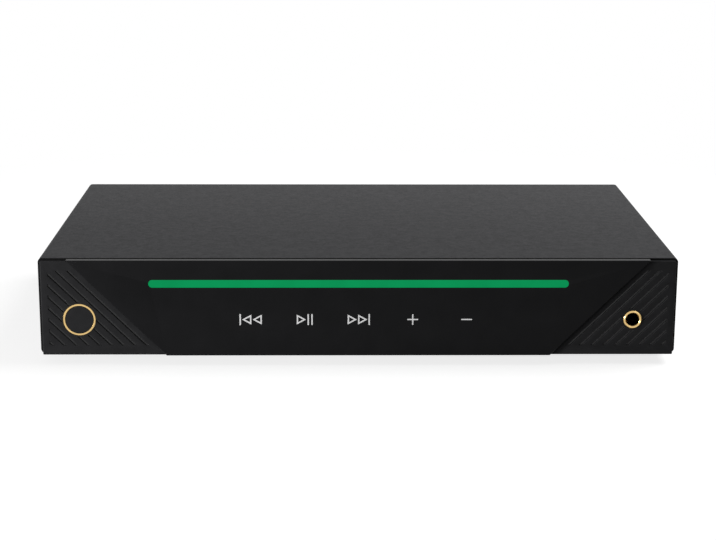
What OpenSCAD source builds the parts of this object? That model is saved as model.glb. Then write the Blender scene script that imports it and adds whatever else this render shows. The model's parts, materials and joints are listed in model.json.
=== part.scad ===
// Network music streamer: a flat steel case whose front is a sloping-ended touch panel
// between two grooved corner panels, with its sockets and power switch at the rear.
// Millimetres. +X is right seen from the front, +Y is to the rear, +Z is up.
// The origin is on the floor, under the middle of the part.

/* [Case] */
// Width of the case
case_w = 310; // [300:1:330]
// Depth from the corner panels' face to the rear edge of the cover
case_d = 186; // [176:1:236]
// Height of the case above its feet
case_h = 47.8; // [46:0.5:54]
// Thickness of the sheet steel
sheet_t = 1.2; // [1:0.1:1.5]
// Outer radius of the folds in the sheet steel
bend_r = 2.2; // [1.4:0.1:3]
// Width of the cover's lips that fold under the base
cover_lip_w = 14; // [12:0.5:18]
// Depth of the rear panel's bottom flange
rear_flange = 12; // [10:0.5:15]
// How far the rear panel sits inside the cover's rear edge
rear_inset = 1.5; // [0.5:0.1:2.5]
// Assembly gap between pieces that slide together
fit_gap = 0.2; // [0.1:0.05:0.3]
// Height of the feet below the case
foot_h = 5; // [4:0.5:8]
// Diameter of a foot
foot_d = 18; // [15:0.5:20]
// Distance of the feet from the sides of the case
foot_side = 32; // [30:1:40]
// Distance of the feet from the front and rear edges
foot_end = 34; // [32:1:45]
// Width of one cooling slot in the base
vent_w = 3; // [2:0.5:4]
// Length of one cooling slot
vent_l = 26; // [15:1:30]
// Spacing of the cooling slots
vent_pitch = 7; // [6:0.5:9]

/* [Front] */
// Thickness of the touch panel
glass_t = 4; // [3.5:0.1:5]
// How far the touch panel stands in front of the corner panels
glass_proud = 1.8; // [1:0.1:2]
// Width of a corner panel along its bottom edge
corner_w = 61.5; // [57:0.5:66]
// Slope of the touch panel's ends, in degrees
glass_slope = 45; // [44:0.5:48]
// How far the touch panel's top edge lies below the cover's top
glass_top_drop = 0.3; // [0.2:0.1:0.9]
// How far the touch panel's bottom edge lies below the case
glass_foot_drop = 0.1; // [0:0.1:1]
// Bevel round the touch panel's face
glass_bevel = 0.4; // [0.2:0.1:0.8]
// Visible seam between neighbouring front pieces
seam = 0.3; // [0.2:0.05:0.5]
// Length of the light bar
bar_w = 203; // [180:0.5:210]
// Height of the light bar
bar_h = 3.7; // [3:0.1:5]
// Height of the light bar's centre above the bottom of the case
bar_z = 36; // [33:0.1:37]
// Spacing of the touch keys
key_pitch = 26.2; // [22:0.1:30]
// Height of the touch keys above the bottom of the case
key_z = 18.2; // [15:0.1:20]
// Number of touch keys
key_count = 5; // [3:1:5]
// How far the corner panels' top lies below the cover's top
corner_drop = 1; // [0.5:0.1:1.2]
// How far the corner panels' outer sides lie inside the cover's sides
corner_inset = 1.3; // [0.5:0.1:1.6]
// Radius of the corner panels' upright outer edges
corner_edge_r = 0.6; // [0.3:0.1:1.7]
// Radius of the corner panels' top outer corners
corner_top_r = 0.8; // [0.5:0.1:3]
// Radius of the corner panels' bottom outer corners
corner_foot_r = 0.5; // [0.3:0.1:1]
// Spacing of the grooves in the corner panels
groove_pitch = 4.05; // [3.6:0.05:5]
// Width of a groove at the face
groove_w = 1.3; // [0.8:0.1:2]
// Depth of a groove
groove_depth = 0.8; // [0.4:0.1:1]
// Plain border round the grooved field
groove_border = 4.7; // [3.5:0.1:6]
// Distance of the first groove from the touch panel's end
groove_first = 3.3; // [2.5:0.1:5]
// Distance of the trim ring from the left side of the case
ring_side = 19.5; // [18.5:0.1:22]
// Distance of the headphone socket from the right side of the case
jack_side = 21.5; // [19:0.1:23]
// Height of the headphone socket and the trim ring above the bottom of the case
feature_z = 17.6; // [16.5:0.1:19]
// Outer diameter of the trim ring
ring_d = 15.8; // [13:0.1:17]
// Width of the trim ring's band
ring_w = 1; // [0.6:0.1:2]
// Outer diameter of the headphone socket's bush
bush_d = 8.9; // [8.5:0.1:10]
// Bore of the headphone socket
socket_d = 6.5; // [6.4:0.05:6.7]
// Depth of the moulded carrier behind the touch panel
carrier_d = 5; // [4.8:0.1:7]

/* [Rear] */
// Outer diameter of the phono sockets
rca_d = 8.3; // [8:0.05:8.6]
// Length of the phono sockets behind the rear panel
rca_len = 9; // [8:0.5:11]
// Height of the phono sockets' axis above the main board
rca_z = 12; // [11:0.5:16]
// Width of the network socket
lan_w = 16.2; // [15.5:0.1:17]
// Height of the network socket
lan_h = 13.4; // [13:0.1:14.5]
// Width of the USB socket
usb_w = 13.2; // [13:0.1:14]
// Height of the USB socket
usb_h = 5.8; // [5.6:0.1:6.4]
// Width of the optical socket's body
optical_w = 11.8; // [11.4:0.1:13]
// Height of the optical socket's body
optical_h = 12; // [11.4:0.1:13]
// Diameter of the reset button
reset_d = 3; // [2.5:0.1:3.5]
// Travel of the reset button
reset_travel = 0.8; // [0.4:0.1:1]
// Width of the mains inlet's flange
inlet_w = 25; // [24:0.5:28]
// Height of the mains inlet's flange
inlet_h = 15; // [14:0.5:17]
// Height of the inlet and the power switch above the tray floor
power_z = 20; // [17:0.5:24]
// Height of the power switch's frame
switch_h = 21; // [20.6:0.1:23]
// Width of the power switch's frame
switch_w = 15; // [14.6:0.1:17]
// Tilt of the power rocker to either side of level, in degrees
rocker_tilt = 9; // [6:0.5:10]

/* [Boards] */
// Thickness of the main and power boards
board_t = 1.6; // [1.2:0.1:2]
// Height of the pillars under the boards
pillar_h = 6; // [5:0.5:7]
// Depth of the main board
main_d = 96; // [90:1:105]
// Width of the power board
psu_w = 76; // [72:1:80]
// Depth of the power board
psu_d = 112; // [106:1:118]
// Gap between the power board and the main board
board_gap = 10; // [8:1:12]
// Radius of the screw shanks
screw_r = 1.45; // [1.2:0.05:1.6]
// Radius of the screw heads
head_r = 2.8; // [2.4:0.1:3]
// Height of the screw heads
head_h = 1.9; // [1.5:0.1:2.2]

/* [Hidden] */

$fn = 64;
over = 1;                 // how far a cut runs past the face that it opens
thread_gap = 0.05;        // radial gap between a screw and its hole
pin_gap = 0.06;           // radial running gap of the small hinge pins

// Overall places
half_w = case_w / 2;
rear_reach = rca_len - rear_inset;
y_front = -(glass_proud + case_d + rear_reach) / 2;
y_face = y_front + glass_proud;
y_back = y_front + glass_t;
y_cover = y_back + seam;
y_wall = y_back + carrier_d;
y_room = y_wall + sheet_t;
y_rear = y_face + case_d;
y_panel = y_rear - rear_inset;
y_inner = y_panel - sheet_t;
z_base = foot_h;
z_plate = z_base + sheet_t;
z_floor = z_plate + sheet_t;
z_top = z_base + case_h;
z_roof = z_top - sheet_t;
wall_top = z_roof - fit_gap;
tray_half = half_w - bend_r - fit_gap;
hole_r = screw_r + thread_gap;
screw_end = 1.5;

// Front places
corner_top = z_top - corner_drop;
corner_half = half_w - corner_inset;
glass_foot_w = case_w - 2 * corner_w;
glass_foot = z_base - glass_foot_drop;
glass_top = z_top - glass_top_drop;
ring_x = half_w - ring_side;
jack_x = half_w - jack_side;
z_feature = z_base + feature_z;
carrier_wall = 1.8;
carrier_floor = 1.6;
carrier_inset = 1;
corner_lip_t = 1.8;
boss_r = 3;
boss_depth = 3.2;
boss_grip = 3;
touch_board_t = 1.2;
led_h = 1;
bar_flange_t = 0.8;
bar_flange = 1.5;
bar_recess = 0.1;
bar_gap = 0.1;
y_pocket = y_wall - carrier_floor;
y_touch = y_pocket - touch_board_t;
ring_r = ring_d / 2;
ring_t = 1.1;
ring_seat = 0.8;
ring_gap = 0.05;
bush_r = bush_d / 2;
bush_proud = 0.6;
bush_tail = carrier_d - 2 * fit_gap;
bush_step = 0.4;
bush_tail_r = bush_r - bush_step;
jack_w = 15;
jack_h = 12;
jack_l = 29;
jack_bore_r = socket_d / 2 + 0.6;
y_jack = y_back + fit_gap;

// Screw places on the front wall, as [x, z]
boss_side = 9;
boss_low_rise = 8.5;
boss_high_drop = 10;
boss_low = z_base + boss_low_rise;
boss_high = z_top - boss_high_drop;
boss_from_slope = 12;
corner_bosses = [
    [half_w - boss_side, boss_low],
    [half_w - boss_side, boss_high],
    [glass_half(boss_low) + boss_from_slope, boss_low]
];
carrier_boss_in = 20;
carrier_boss_drop = 8;
carrier_bosses = [
    for (s = [-1, 1], z = [boss_low, z_top - carrier_boss_drop])
        [s * (glass_half(z) - carrier_boss_in), z]
];

// Screw places under the base, as [x, y]
cover_screw_x = (half_w - cover_lip_w + tray_half) / 2;
cover_screw_end = 26;
cover_screw_ys = [y_wall + cover_screw_end, (y_wall + y_panel) / 2, y_panel - cover_screw_end];
cover_screw_places = [for (s = [-1, 1], y = cover_screw_ys) [s * cover_screw_x, y]];
rear_screw_y = y_inner - rear_flange / 2;
rear_screw_pitch = 70;
rear_screw_places = [for (k = [-1.5:1:1.5]) [k * rear_screw_pitch, rear_screw_y]];
foot_x = half_w - foot_side;
foot_ys = [y_face + foot_end, y_rear - foot_end];

// Boards and rear sockets
psu_side = 7;
psu_rear = 36;
psu_x0 = -half_w + psu_side;
psu_x1 = psu_x0 + psu_w;
psu_y1 = y_inner - psu_rear;
psu_y0 = psu_y1 - psu_d;
main_side = 16;
main_x0 = psu_x1 + board_gap;
main_x1 = half_w - main_side;
main_y1 = y_inner - 0.5;
main_y0 = main_y1 - main_d;
z_under = z_floor + pillar_h;
z_board = z_under + board_t;
pillar_r = 2.8;
pillar_inset = 5;
rear_pillar = rear_flange + 8;
pillar_pilot = 5.5;
pillar_grip = 4;
psu_vent_edge = 11;
main_vent_edge = 31;

rca_flange_r = 5.8;
reset_block = 7;
socket_widths = [lan_w, usb_w, optical_w, 2 * rca_flange_r, 2 * rca_flange_r, 2 * rca_flange_r, reset_block];
socket_count = len(socket_widths);
socket_gap = (main_x1 - main_x0 - sum_first(socket_widths, socket_count)) / (socket_count + 1);
lan_x = socket_x(0);
usb_x = socket_x(1);
optical_x = socket_x(2);
coax_x = socket_x(3);
left_rca_x = socket_x(4);
right_rca_x = socket_x(5);
reset_x = socket_x(6);
inlet_side = 28;
power_pitch = 31;
inlet_x = -half_w + inlet_side;
switch_x = inlet_x + power_pitch;
z_power = z_floor + power_z;

rca_r = rca_d / 2;
rca_wall = 0.8;
rca_tail = 6;
rca_flange_t = 1.2;
rca_block_w = 12;
rca_block_d = 12;
rca_hole_r = 1.6;
rca_hole_d = 8;
z_rca = z_board + rca_z;

lan_d = 19;
lan_proud = 0.4;
lan_mouth_w = 12;
lan_mouth_h = 8.4;
lan_mouth_d = 14;
lan_foot = 3;
lan_key_w = 6;
lan_key_h = 2;
contact_count = 8;
contact_pitch = 1.02;
contact_l = 9;
contact_t = 0.4;
contact_drop = 1.4;
lamp_w = 2.6;
lamp_h = 1.2;
lamp_d = 1;
lamp_spread = 5.4;

usb_d = 14;
usb_proud = 0.6;
usb_wall = 0.4;
usb_lift = 0.2;
usb_back = 2;
usb_tongue_t = 1.9;
usb_tongue_l = 9;
usb_tongue_gap = 0.6;

optical_d = 15;
optical_proud = 0.8;
optical_mouth_w = 8.4;
optical_mouth_h = 8.6;
optical_mouth_d = 10.4;
y_optical = y_panel + optical_proud;
z_optical = z_board + optical_h / 2;
shutter_t = 0.9;
shutter_gap = 0.2;
shutter_pin_r = 0.45;
shutter_pin_l = 0.7;
y_shutter = y_optical - 1.2;
z_shutter = z_optical + optical_mouth_h / 2 - 0.75;

reset_r = reset_d / 2;
reset_collar_r = reset_r + 0.7;
reset_collar_t = 0.6;
reset_slack = 0.75;
reset_block_gap = reset_collar_t + reset_travel + reset_slack;
z_reset = z_board + reset_block / 2;

inlet_t = 2.2;
inlet_rim = 2;
inlet_d = 17;
inlet_mouth_w = 16.2;
inlet_mouth_h = 8.4;
inlet_mouth_d = 14;
inlet_pin_r = 1.2;
inlet_pin_l = 11;
inlet_pin_pitch = 8.6;
tab_w = 4.8;
tab_t = 0.8;
tab_l = 7;
y_inlet = y_panel + inlet_t;

switch_t = 2;
switch_rim = 1;
switch_d = 14;
switch_wall = 1.15;
rocker_gap = 0.2;
rocker_pin_r = 1;
rocker_pin_l = 0.8;
rocker_lip = 4.5;
rocker_dip = 3.6;
rocker_skirt = 2.5;
rocker_keel = 1.6;
rocker_keel_half = 3;
rocker_land = 0.5;
switch_depth = 4.2;
y_rocker = y_panel - 1;
z_rocker = z_power;
switch_tab_z = 4.5;

// Sum of the first n values of a list
function sum_first(list, n) = n == 0 ? 0 : list[n - 1] + sum_first(list, n - 1);

// Place of rear socket i, so that all neighbours and the board's ends have the same gap
function socket_x(i) = main_x0 + (i + 1) * socket_gap + sum_first(socket_widths, i) + socket_widths[i] / 2;

// Half width of the touch panel at height z
function glass_half(z) = glass_foot_w / 2 + (z - z_base) / tan(glass_slope);

// Trapezoid of the touch panel between two heights, drawn in by inset
function glass_points(z_lo, z_hi, inset) =
    let (step = inset / sin(glass_slope))
    [
        [-glass_half(z_lo) + step, z_lo], [glass_half(z_lo) - step, z_lo],
        [glass_half(z_hi) - step, z_hi], [-glass_half(z_hi) + step, z_hi]
    ];

// Right-hand corner outline between the slope, moved out by offset, and the side x
function corner_points(x_side, z_lo, z_hi, offset) =
    let (step = offset / sin(glass_slope))
    [
        [glass_half(z_lo) + step, z_lo], [x_side, z_lo],
        [x_side, z_hi], [glass_half(z_hi) + step, z_hi]
    ];

function unit(v) = v / norm(v);

// A cubic curve from a to b, leaving along a_pull and arriving from b_pull, as [point, direction] pairs
function wire_route(a, a_pull, b, b_pull, steps) =
    [for (i = [0:steps])
        let (t = i / steps, s = 1 - t, c = a + a_pull, d = b + b_pull)
        [
            s * s * s * a + 3 * s * s * t * c + 3 * s * t * t * d + t * t * t * b,
            unit(s * s * (c - a) + 2 * s * t * (d - c) + t * t * (b - d))
        ]];

// Extrudes an XZ outline from y0 to y1
module along_y(y0, y1) {
    translate([0, y1, 0]) rotate([90, 0, 0]) linear_extrude(y1 - y0) children();
}

// Extrudes a YZ outline from x0 to x1
module along_x(x0, x1) {
    translate([x0, 0, 0]) rotate([90, 0, 90]) linear_extrude(x1 - x0) children();
}

// Extrudes an XY outline from z0 to z1
module along_z(z0, z1) {
    translate([0, 0, z0]) linear_extrude(z1 - z0) children();
}

// Turns a profile of [radius, y] about the Y line through x, z
module turned_y(x, z) {
    translate([x, 0, z]) rotate([-90, 0, 0]) rotate_extrude() children();
}

// A round hole or rod along Y
module rod_y(x, z, r, y0, y1) {
    translate([x, y0, z]) rotate([-90, 0, 0]) cylinder(r = r, h = y1 - y0);
}

// A round hole or rod along X
module rod_x(y, z, r, x0, x1) {
    translate([x0, y, z]) rotate([0, 90, 0]) cylinder(r = r, h = x1 - x0);
}

// A round hole or rod along Z
module rod_z(x, y, r, z0, z1) {
    translate([x, y, z0]) cylinder(r = r, h = z1 - z0);
}

// A box between two corners
module box(lo, hi) {
    translate(lo) cube(hi - lo);
}

// A rectangle with round corners: the low-y pair and the high-y pair have their own radii
module round_rect(size, r_low, r_high) {
    difference() {
        square(size);
        for (right = [0, 1], high = [0, 1]) {
            r = high ? r_high : r_low;
            translate([right * size.x, high * size.y])
                mirror([right, 0]) mirror([0, high])
                    difference() {
                        translate([-over, -over]) square(r + over);
                        translate([r, r]) circle(r);
                    }
        }
    }
}

// A bar outline with half-round ends, centred
module bar_outline(w, h) {
    square([w - h, h], center = true);
    for (s = [-1, 1]) translate([s * (w - h) / 2, 0]) circle(h / 2);
}

// A folded strip of sheet in profile: legs along +x and +y from the outer corner
module folded_sheet(run, rise) {
    difference() {
        round_corner(run, rise, bend_r);
        translate([sheet_t, sheet_t]) round_corner(run, rise, bend_r - sheet_t);
    }
}

// A rectangle whose corner at the origin is round
module round_corner(run, rise, r) {
    translate([r, 0]) square([run - r, rise]);
    translate([0, r]) square([run, rise - r]);
    translate([r, r]) circle(r);
}

// A cross-head screw: the shank points up from the seat at z = 0 and the head hangs below
module screw(grip) {
    slot_w = 0.7;
    tip = 0.4;
    difference() {
        rotate_extrude() polygon([
            [0, -head_h], [head_r * 0.55, -head_h], [head_r, -head_h * 0.4], [head_r, 0],
            [screw_r, 0], [screw_r, grip - tip], [screw_r - tip, grip], [0, grip]
        ]);
        for (turn = [0, 90])
            rotate(turn)
                translate([-head_r * 0.6, -slot_w / 2, -head_h - over])
                    cube([head_r * 1.2, slot_w, over + head_h * 0.5]);
    }
}

// A wire of round section along a route; side is never along the wire
module wire(route, r, side) {
    sides = 8;
    rings = len(route);
    points = [for (step = route)
        let (u = unit(cross(step[1], side)), v = cross(step[1], u))
        for (k = [0:sides - 1])
            step[0] + r * (cos(360 * k / sides) * u + sin(360 * k / sides) * v)];
    walls = [for (i = [0:rings - 2], k = [0:sides - 1])
        let (a = i * sides + k, b = i * sides + (k + 1) % sides)
        each [[a, a + sides, b + sides], [a, b + sides, b]]];
    start = [for (k = [0:sides - 1]) k];
    end = [for (k = [sides - 1:-1:0]) (rings - 1) * sides + k];
    polyhedron(points, concat(walls, [start, end]), convexity = 6);
}

// Sheet-metal case

module top_cover() {
    color("#3c3c3e") difference() {
        along_y(y_cover, y_rear) difference() {
            translate([-half_w, z_base]) round_rect([case_w, case_h], bend_r, bend_r);
            translate([-half_w + sheet_t, z_plate])
                round_rect([case_w - 2 * sheet_t, case_h - 2 * sheet_t], bend_r - sheet_t, bend_r - sheet_t);
            translate([-half_w + cover_lip_w, z_base - over])
                square([case_w - 2 * cover_lip_w, sheet_t + 2 * over]);
        }
        for (p = cover_screw_places) rod_z(p.x, p.y, hole_r, z_base - over, z_plate + over);
    }
}

module base_tray() {
    color("#2c2c2e") difference() {
        along_x(-tray_half, tray_half)
            translate([y_wall, z_plate]) folded_sheet(y_panel - y_wall, wall_top - z_plate);
        for (p = concat(cover_screw_places, rear_screw_places, foot_places()))
            rod_z(p.x, p.y, hole_r, z_plate - over, z_floor + over);
        for (p = front_screw_places()) rod_y(p.x, p.y, hole_r, y_wall - over, y_room + over);
        ribbon_window();
        jack_window();
        antenna_window();
        vent_slots((psu_x0 + psu_x1) / 2, (psu_y0 + psu_y1) / 2, psu_w - 2 * psu_vent_edge);
        vent_slots((main_x0 + main_x1) / 2, (main_y0 + main_y1) / 2, main_x1 - main_x0 - 2 * main_vent_edge);
    }
}

function foot_places() = [for (s = [-1, 1], y = foot_ys) [s * foot_x, y]];

function front_screw_places() = concat(
    carrier_bosses, corner_bosses, [for (p = corner_bosses) [-p.x, p.y]]);

// Rows of cooling slots through the base, centred on x, y and filling the span
module vent_slots(x, y, span) {
    last = floor(span / vent_pitch / 2);
    for (k = [-last:last])
        translate([x + k * vent_pitch, y, 0])
            along_z(z_plate - over, z_floor + over) rotate(90) bar_outline(vent_l, vent_w);
}

module rear_panel() {
    color("#2c2c2e") difference() {
        along_x(-tray_half, tray_half)
            translate([y_panel, z_floor]) mirror([1, 0]) folded_sheet(rear_flange, wall_top - z_floor);
        for (p = rear_screw_places) rod_z(p.x, p.y, hole_r, z_floor - over, z_floor + sheet_t + over);
        for (x = [coax_x, left_rca_x, right_rca_x])
            rod_y(x, z_rca, rca_r + fit_gap, y_inner - over, y_panel + over);
        rod_y(reset_x, z_reset, reset_r + thread_gap, y_inner - over, y_panel + over);
        rear_window(lan_x, z_board + lan_h / 2, lan_w, lan_h);
        rear_window(usb_x, z_board + usb_lift + usb_h / 2, usb_w, usb_h);
        rear_window(optical_x, z_optical, optical_w, optical_h);
        rear_window(inlet_x, z_power, inlet_w - 2 * inlet_rim, inlet_h - 2 * inlet_rim);
        rear_window(switch_x, z_power, switch_w - 2 * switch_rim, switch_h - 2 * switch_rim);
    }
}

// A window in the rear panel round a socket of size w by h
module rear_window(x, z, w, h) {
    reach = [w / 2 + fit_gap, 0, h / 2 + fit_gap];
    box([x, y_inner - over, z] - reach, [x, y_panel + over, z] + reach);
}

module cover_screws() {
    color("#202022") for (p = cover_screw_places)
        translate([p.x, p.y, z_base]) screw(2 * sheet_t + screw_end);
}

module rear_panel_screws() {
    color("#202022") for (p = rear_screw_places)
        translate([p.x, p.y, z_plate]) screw(2 * sheet_t + screw_end);
}

// Feet

foot_head_seat = 2.6;
foot_recess_r = head_r + 1.4;

// A turned rubber foot with a recess for its screw
module foot(x, y) {
    taper = 0.9;
    edge_r = 0.8;
    r = foot_d / 2;
    color("#1b1b1b") translate([x, y, 0]) difference() {
        rotate_extrude() union() {
            polygon([
                [hole_r, 0], [r - taper - edge_r, 0], [r - taper, edge_r], [r, z_plate], [hole_r, z_plate]
            ]);
            translate([r - taper - edge_r, edge_r]) circle(edge_r);
        }
        rod_z(0, 0, foot_recess_r, -over, foot_head_seat);
    }
}

module foot_front_left() {
    foot(-foot_x, foot_ys[0]);
}

module foot_front_right() {
    foot(foot_x, foot_ys[0]);
}

module foot_rear_left() {
    foot(-foot_x, foot_ys[1]);
}

module foot_rear_right() {
    foot(foot_x, foot_ys[1]);
}

module foot_screws() {
    color("#8c8c90") for (p = foot_places())
        translate([p.x, p.y, foot_head_seat]) screw(z_floor - foot_head_seat + 2);
}

// Front

module touch_panel() {
    color("#141415") difference() {
        hull() {
            along_y(y_front + glass_bevel, y_back) polygon(glass_points(glass_foot, glass_top, 0));
            along_y(y_front, y_back)
                polygon(glass_points(glass_foot + glass_bevel, glass_top - glass_bevel, glass_bevel));
        }
        along_y(y_front - over, y_back + over)
            translate([0, z_base + bar_z]) bar_outline(bar_w + 2 * bar_gap, bar_h + 2 * bar_gap);
    }
}

module light_bar() {
    color("#08a060") {
        along_y(y_front + bar_recess, y_back)
            translate([0, z_base + bar_z]) bar_outline(bar_w, bar_h);
        along_y(y_back, y_back + bar_flange_t)
            translate([0, z_base + bar_z]) bar_outline(bar_w + 2 * bar_flange, bar_h + 2 * bar_flange);
    }
}

module panel_carrier() {
    foot_z = z_base + 0.6;
    color("#222224") difference() {
        union() {
            difference() {
                along_y(y_back, y_wall) polygon(glass_points(foot_z, wall_top, carrier_inset));
                along_y(y_back - over, y_pocket)
                    polygon(glass_points(foot_z + carrier_wall, wall_top - carrier_wall,
                                         carrier_inset + carrier_wall));
            }
            for (p = carrier_bosses) rod_y(p.x, p.y, boss_r, y_wall - boss_depth - 0.6, y_wall);
        }
        for (p = carrier_bosses) rod_y(p.x, p.y, hole_r, y_wall - boss_depth, y_wall + over);
        ribbon_window();
    }
}

// Right-hand corner panel without its centre feature; a plain disc at pad_x stays free of grooves
module corner_blank(pad_x, pad_r) {
    pilot = 3.3;
    difference() {
        union() {
            intersection() {
                along_y(y_face, y_back) translate([-corner_half, z_base])
                    round_rect([2 * corner_half, corner_top - z_base], corner_foot_r, corner_top_r);
                along_z(z_base, z_top) translate([-corner_half, y_face])
                    round_rect([2 * corner_half, case_d], corner_edge_r, corner_edge_r);
                along_y(y_face, y_back) polygon(corner_points(half_w + over, z_base, z_top, seam));
            }
            difference() {
                along_y(y_back, y_wall)
                    polygon(corner_points(tray_half, z_plate + fit_gap, wall_top, seam + carrier_inset));
                along_y(y_back - over, y_wall + over)
                    polygon(corner_points(
                        tray_half - corner_lip_t, z_plate + fit_gap + corner_lip_t,
                        wall_top - corner_lip_t, seam + carrier_inset + corner_lip_t));
            }
            for (p = corner_bosses) rod_y(p.x, p.y, boss_r, y_back, y_wall);
        }
        for (p = corner_bosses) rod_y(p.x, p.y, hole_r, y_wall - pilot, y_wall + over);
        difference() {
            intersection() {
                grooves();
                along_y(y_face - over, y_back) polygon(corner_points(
                    half_w - groove_border, z_base + groove_border, corner_top - groove_border, seam));
            }
            rod_y(pad_x, z_feature, pad_r, y_face - 2 * over, y_back + over);
        }
    }
}

// Parallel grooves beside the touch panel's sloping end
module grooves() {
    corner_reach = (half_w - groove_border - glass_half(z_base + groove_border)) * sin(glass_slope);
    last = floor((corner_reach - groove_first - 1) / groove_pitch);
    span = 4 * case_h;
    flat = groove_w / 4;
    for (i = [0:last])
        translate([glass_half(z_base) + (groove_first + i * groove_pitch) / sin(glass_slope), y_face, z_base])
            rotate([0, 90 - glass_slope, 0]) translate([0, 0, -span / 2]) linear_extrude(span) polygon([
                [-groove_w / 2, 0], [-groove_w / 2, -over], [groove_w / 2, -over], [groove_w / 2, 0],
                [flat, groove_depth], [-flat, groove_depth]
            ]);
}

module left_corner_panel() {
    pad = 0.6;
    color("#242526") difference() {
        mirror([1, 0, 0]) corner_blank(ring_x, ring_r + pad);
        turned_y(-ring_x, z_feature) polygon([
            [ring_r - ring_w - ring_gap, y_face - over], [ring_r + ring_gap, y_face - over],
            [ring_r + ring_gap, y_face + ring_seat], [ring_r - ring_w - ring_gap, y_face + ring_seat]
        ]);
    }
}

module right_corner_panel() {
    pad = 1;
    color("#242526") difference() {
        corner_blank(jack_x, bush_r + pad);
        rod_y(jack_x, z_feature, bush_r + ring_gap, y_face - over, y_back + over);
    }
}

module trim_ring() {
    edge = 0.25;
    y_crown = y_face + ring_seat - ring_t;
    r_in = ring_r - ring_w;
    color("#c9a45c") turned_y(-ring_x, z_feature) polygon([
        [r_in, y_face + ring_seat], [r_in, y_crown + edge], [r_in + edge, y_crown],
        [ring_r - edge, y_crown], [ring_r, y_crown + edge], [ring_r, y_face + ring_seat]
    ]);
}

module front_screws() {
    color("#8c8c90") for (p = front_screw_places())
        translate([p.x, y_room, p.y]) rotate([90, 0, 0]) screw(sheet_t + boss_grip);
}

// Touch electronics

ribbon_side = 24;
ribbon_x = (main_x0 + main_x1) / 2 - ribbon_side;
ribbon_w = 16;
ribbon_t = 0.4;
ribbon_conn_side = 3;
ribbon_conn_out = 1;
ribbon_conn_h = 5;
ribbon_conn = [ribbon_w + ribbon_conn_side, carrier_floor + sheet_t + ribbon_conn_out, ribbon_conn_h];
ribbon_rise = 22;
z_ribbon = z_base + ribbon_rise;

// Opening for the ribbon's connector through the carrier and the front wall
module ribbon_window() {
    slack = 1;
    box([ribbon_x - ribbon_conn.x / 2 - slack, y_pocket - over, z_ribbon - ribbon_conn.z / 2 - slack],
        [ribbon_x + ribbon_conn.x / 2 + slack, y_room + over, z_ribbon + ribbon_conn.z / 2 + slack]);
}

module touch_board() {
    slack = 0.5;
    foot_gap = 0.6;
    edge = carrier_wall + slack;
    foot_z = z_base + foot_gap + edge;
    color("#1f5a3a") difference() {
        along_y(y_touch, y_pocket)
            polygon(glass_points(foot_z, wall_top - edge, carrier_inset + edge));
        for (p = carrier_bosses) rod_y(p.x, p.y, boss_r + slack, y_touch - over, y_pocket + over);
    }
    color("#d8d4c8")
        box([ribbon_x - ribbon_conn.x / 2, y_pocket, z_ribbon - ribbon_conn.z / 2],
            [ribbon_x + ribbon_conn.x / 2, y_pocket + ribbon_conn.y, z_ribbon + ribbon_conn.z / 2]);
}

module touch_pads() {
    pad_r = 4.5;
    color("#4a4a4c") for (i = [0:key_count - 1])
        rod_y((i - (key_count - 1) / 2) * key_pitch, z_base + key_z, pad_r, y_back, y_touch);
}

module bar_leds() {
    led_count = 12;
    led_w = 3;
    led_t = 1.4;
    pitch = bar_w / led_count;
    color("#e8e4d0") for (i = [0:led_count - 1]) {
        x = (i - (led_count - 1) / 2) * pitch;
        box([x - led_w / 2, y_touch - led_h, z_base + bar_z - led_t / 2],
            [x + led_w / 2, y_touch, z_base + bar_z + led_t / 2]);
    }
}

// Headphone socket

// Cut-out in the front wall round the socket's body
module jack_window() {
    slack = 1;
    box([jack_x - jack_w / 2 - slack, y_wall - over, z_feature - jack_h / 2 - slack],
        [jack_x + jack_w / 2 + slack, y_room + over, z_feature + jack_h / 2 + slack]);
}

module headphone_bush() {
    r = socket_d / 2;
    edge = 0.4;
    y_lip = y_face - bush_proud;
    color("#c9a45c") turned_y(jack_x, z_feature) polygon([
        [r + edge, y_lip], [bush_r - edge, y_lip], [bush_r, y_lip + edge], [bush_r, y_jack],
        [bush_tail_r, y_jack], [bush_tail_r, y_jack + bush_tail], [r, y_jack + bush_tail], [r, y_lip + edge]
    ]);
}

module headphone_jack() {
    back_wall = 3;
    color("#1c1c1e") difference() {
        box([jack_x - jack_w / 2, y_jack, z_feature - jack_h / 2],
            [jack_x + jack_w / 2, y_jack + jack_l, z_feature + jack_h / 2]);
        rod_y(jack_x, z_feature, bush_tail_r + thread_gap, y_jack - over, y_jack + bush_tail + thread_gap);
        rod_y(jack_x, z_feature, jack_bore_r, y_jack, y_jack + jack_l - back_wall);
    }
}

jack_board_w = 30;
jack_board_l = 36;
jack_board_y0 = y_room + head_h + 0.5;
jack_board_y1 = jack_board_y0 + jack_board_l;
z_jack_board = z_feature - jack_h / 2;
jack_pillars = [for (s = [-1, 1], y = [jack_board_y0 + pillar_inset, jack_board_y1 - pillar_inset])
    [jack_x + s * (jack_board_w / 2 - 4), y]];

module headphone_board() {
    color("#1f5a3a") difference() {
        box([jack_x - jack_board_w / 2, jack_board_y0, z_jack_board - board_t],
            [jack_x + jack_board_w / 2, jack_board_y1, z_jack_board]);
        for (p = jack_pillars) rod_z(p.x, p.y, hole_r, z_jack_board - board_t - over, z_jack_board + over);
    }
}

// Flat wireless antenna on the back of the left corner panel, and its coaxial lead

antenna_w = 24;
antenna_h = 6;
antenna_t = 0.4;
antenna_foot = 14;
antenna_side = 26;
antenna_rise = 16;
antenna_x = -glass_half(z_base + antenna_foot) - antenna_side;
z_antenna = z_base + antenna_rise;
lead_r = 0.7;
lead_edge = 3;
lead_clear = 1;
lead_x = antenna_x + antenna_w / 2 - lead_edge;

module wifi_antenna() {
    color("#c87e3c")
        box([antenna_x - antenna_w / 2, y_back, z_antenna - antenna_h / 2],
            [antenna_x + antenna_w / 2, y_back + antenna_t, z_antenna + antenna_h / 2]);
}

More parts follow.
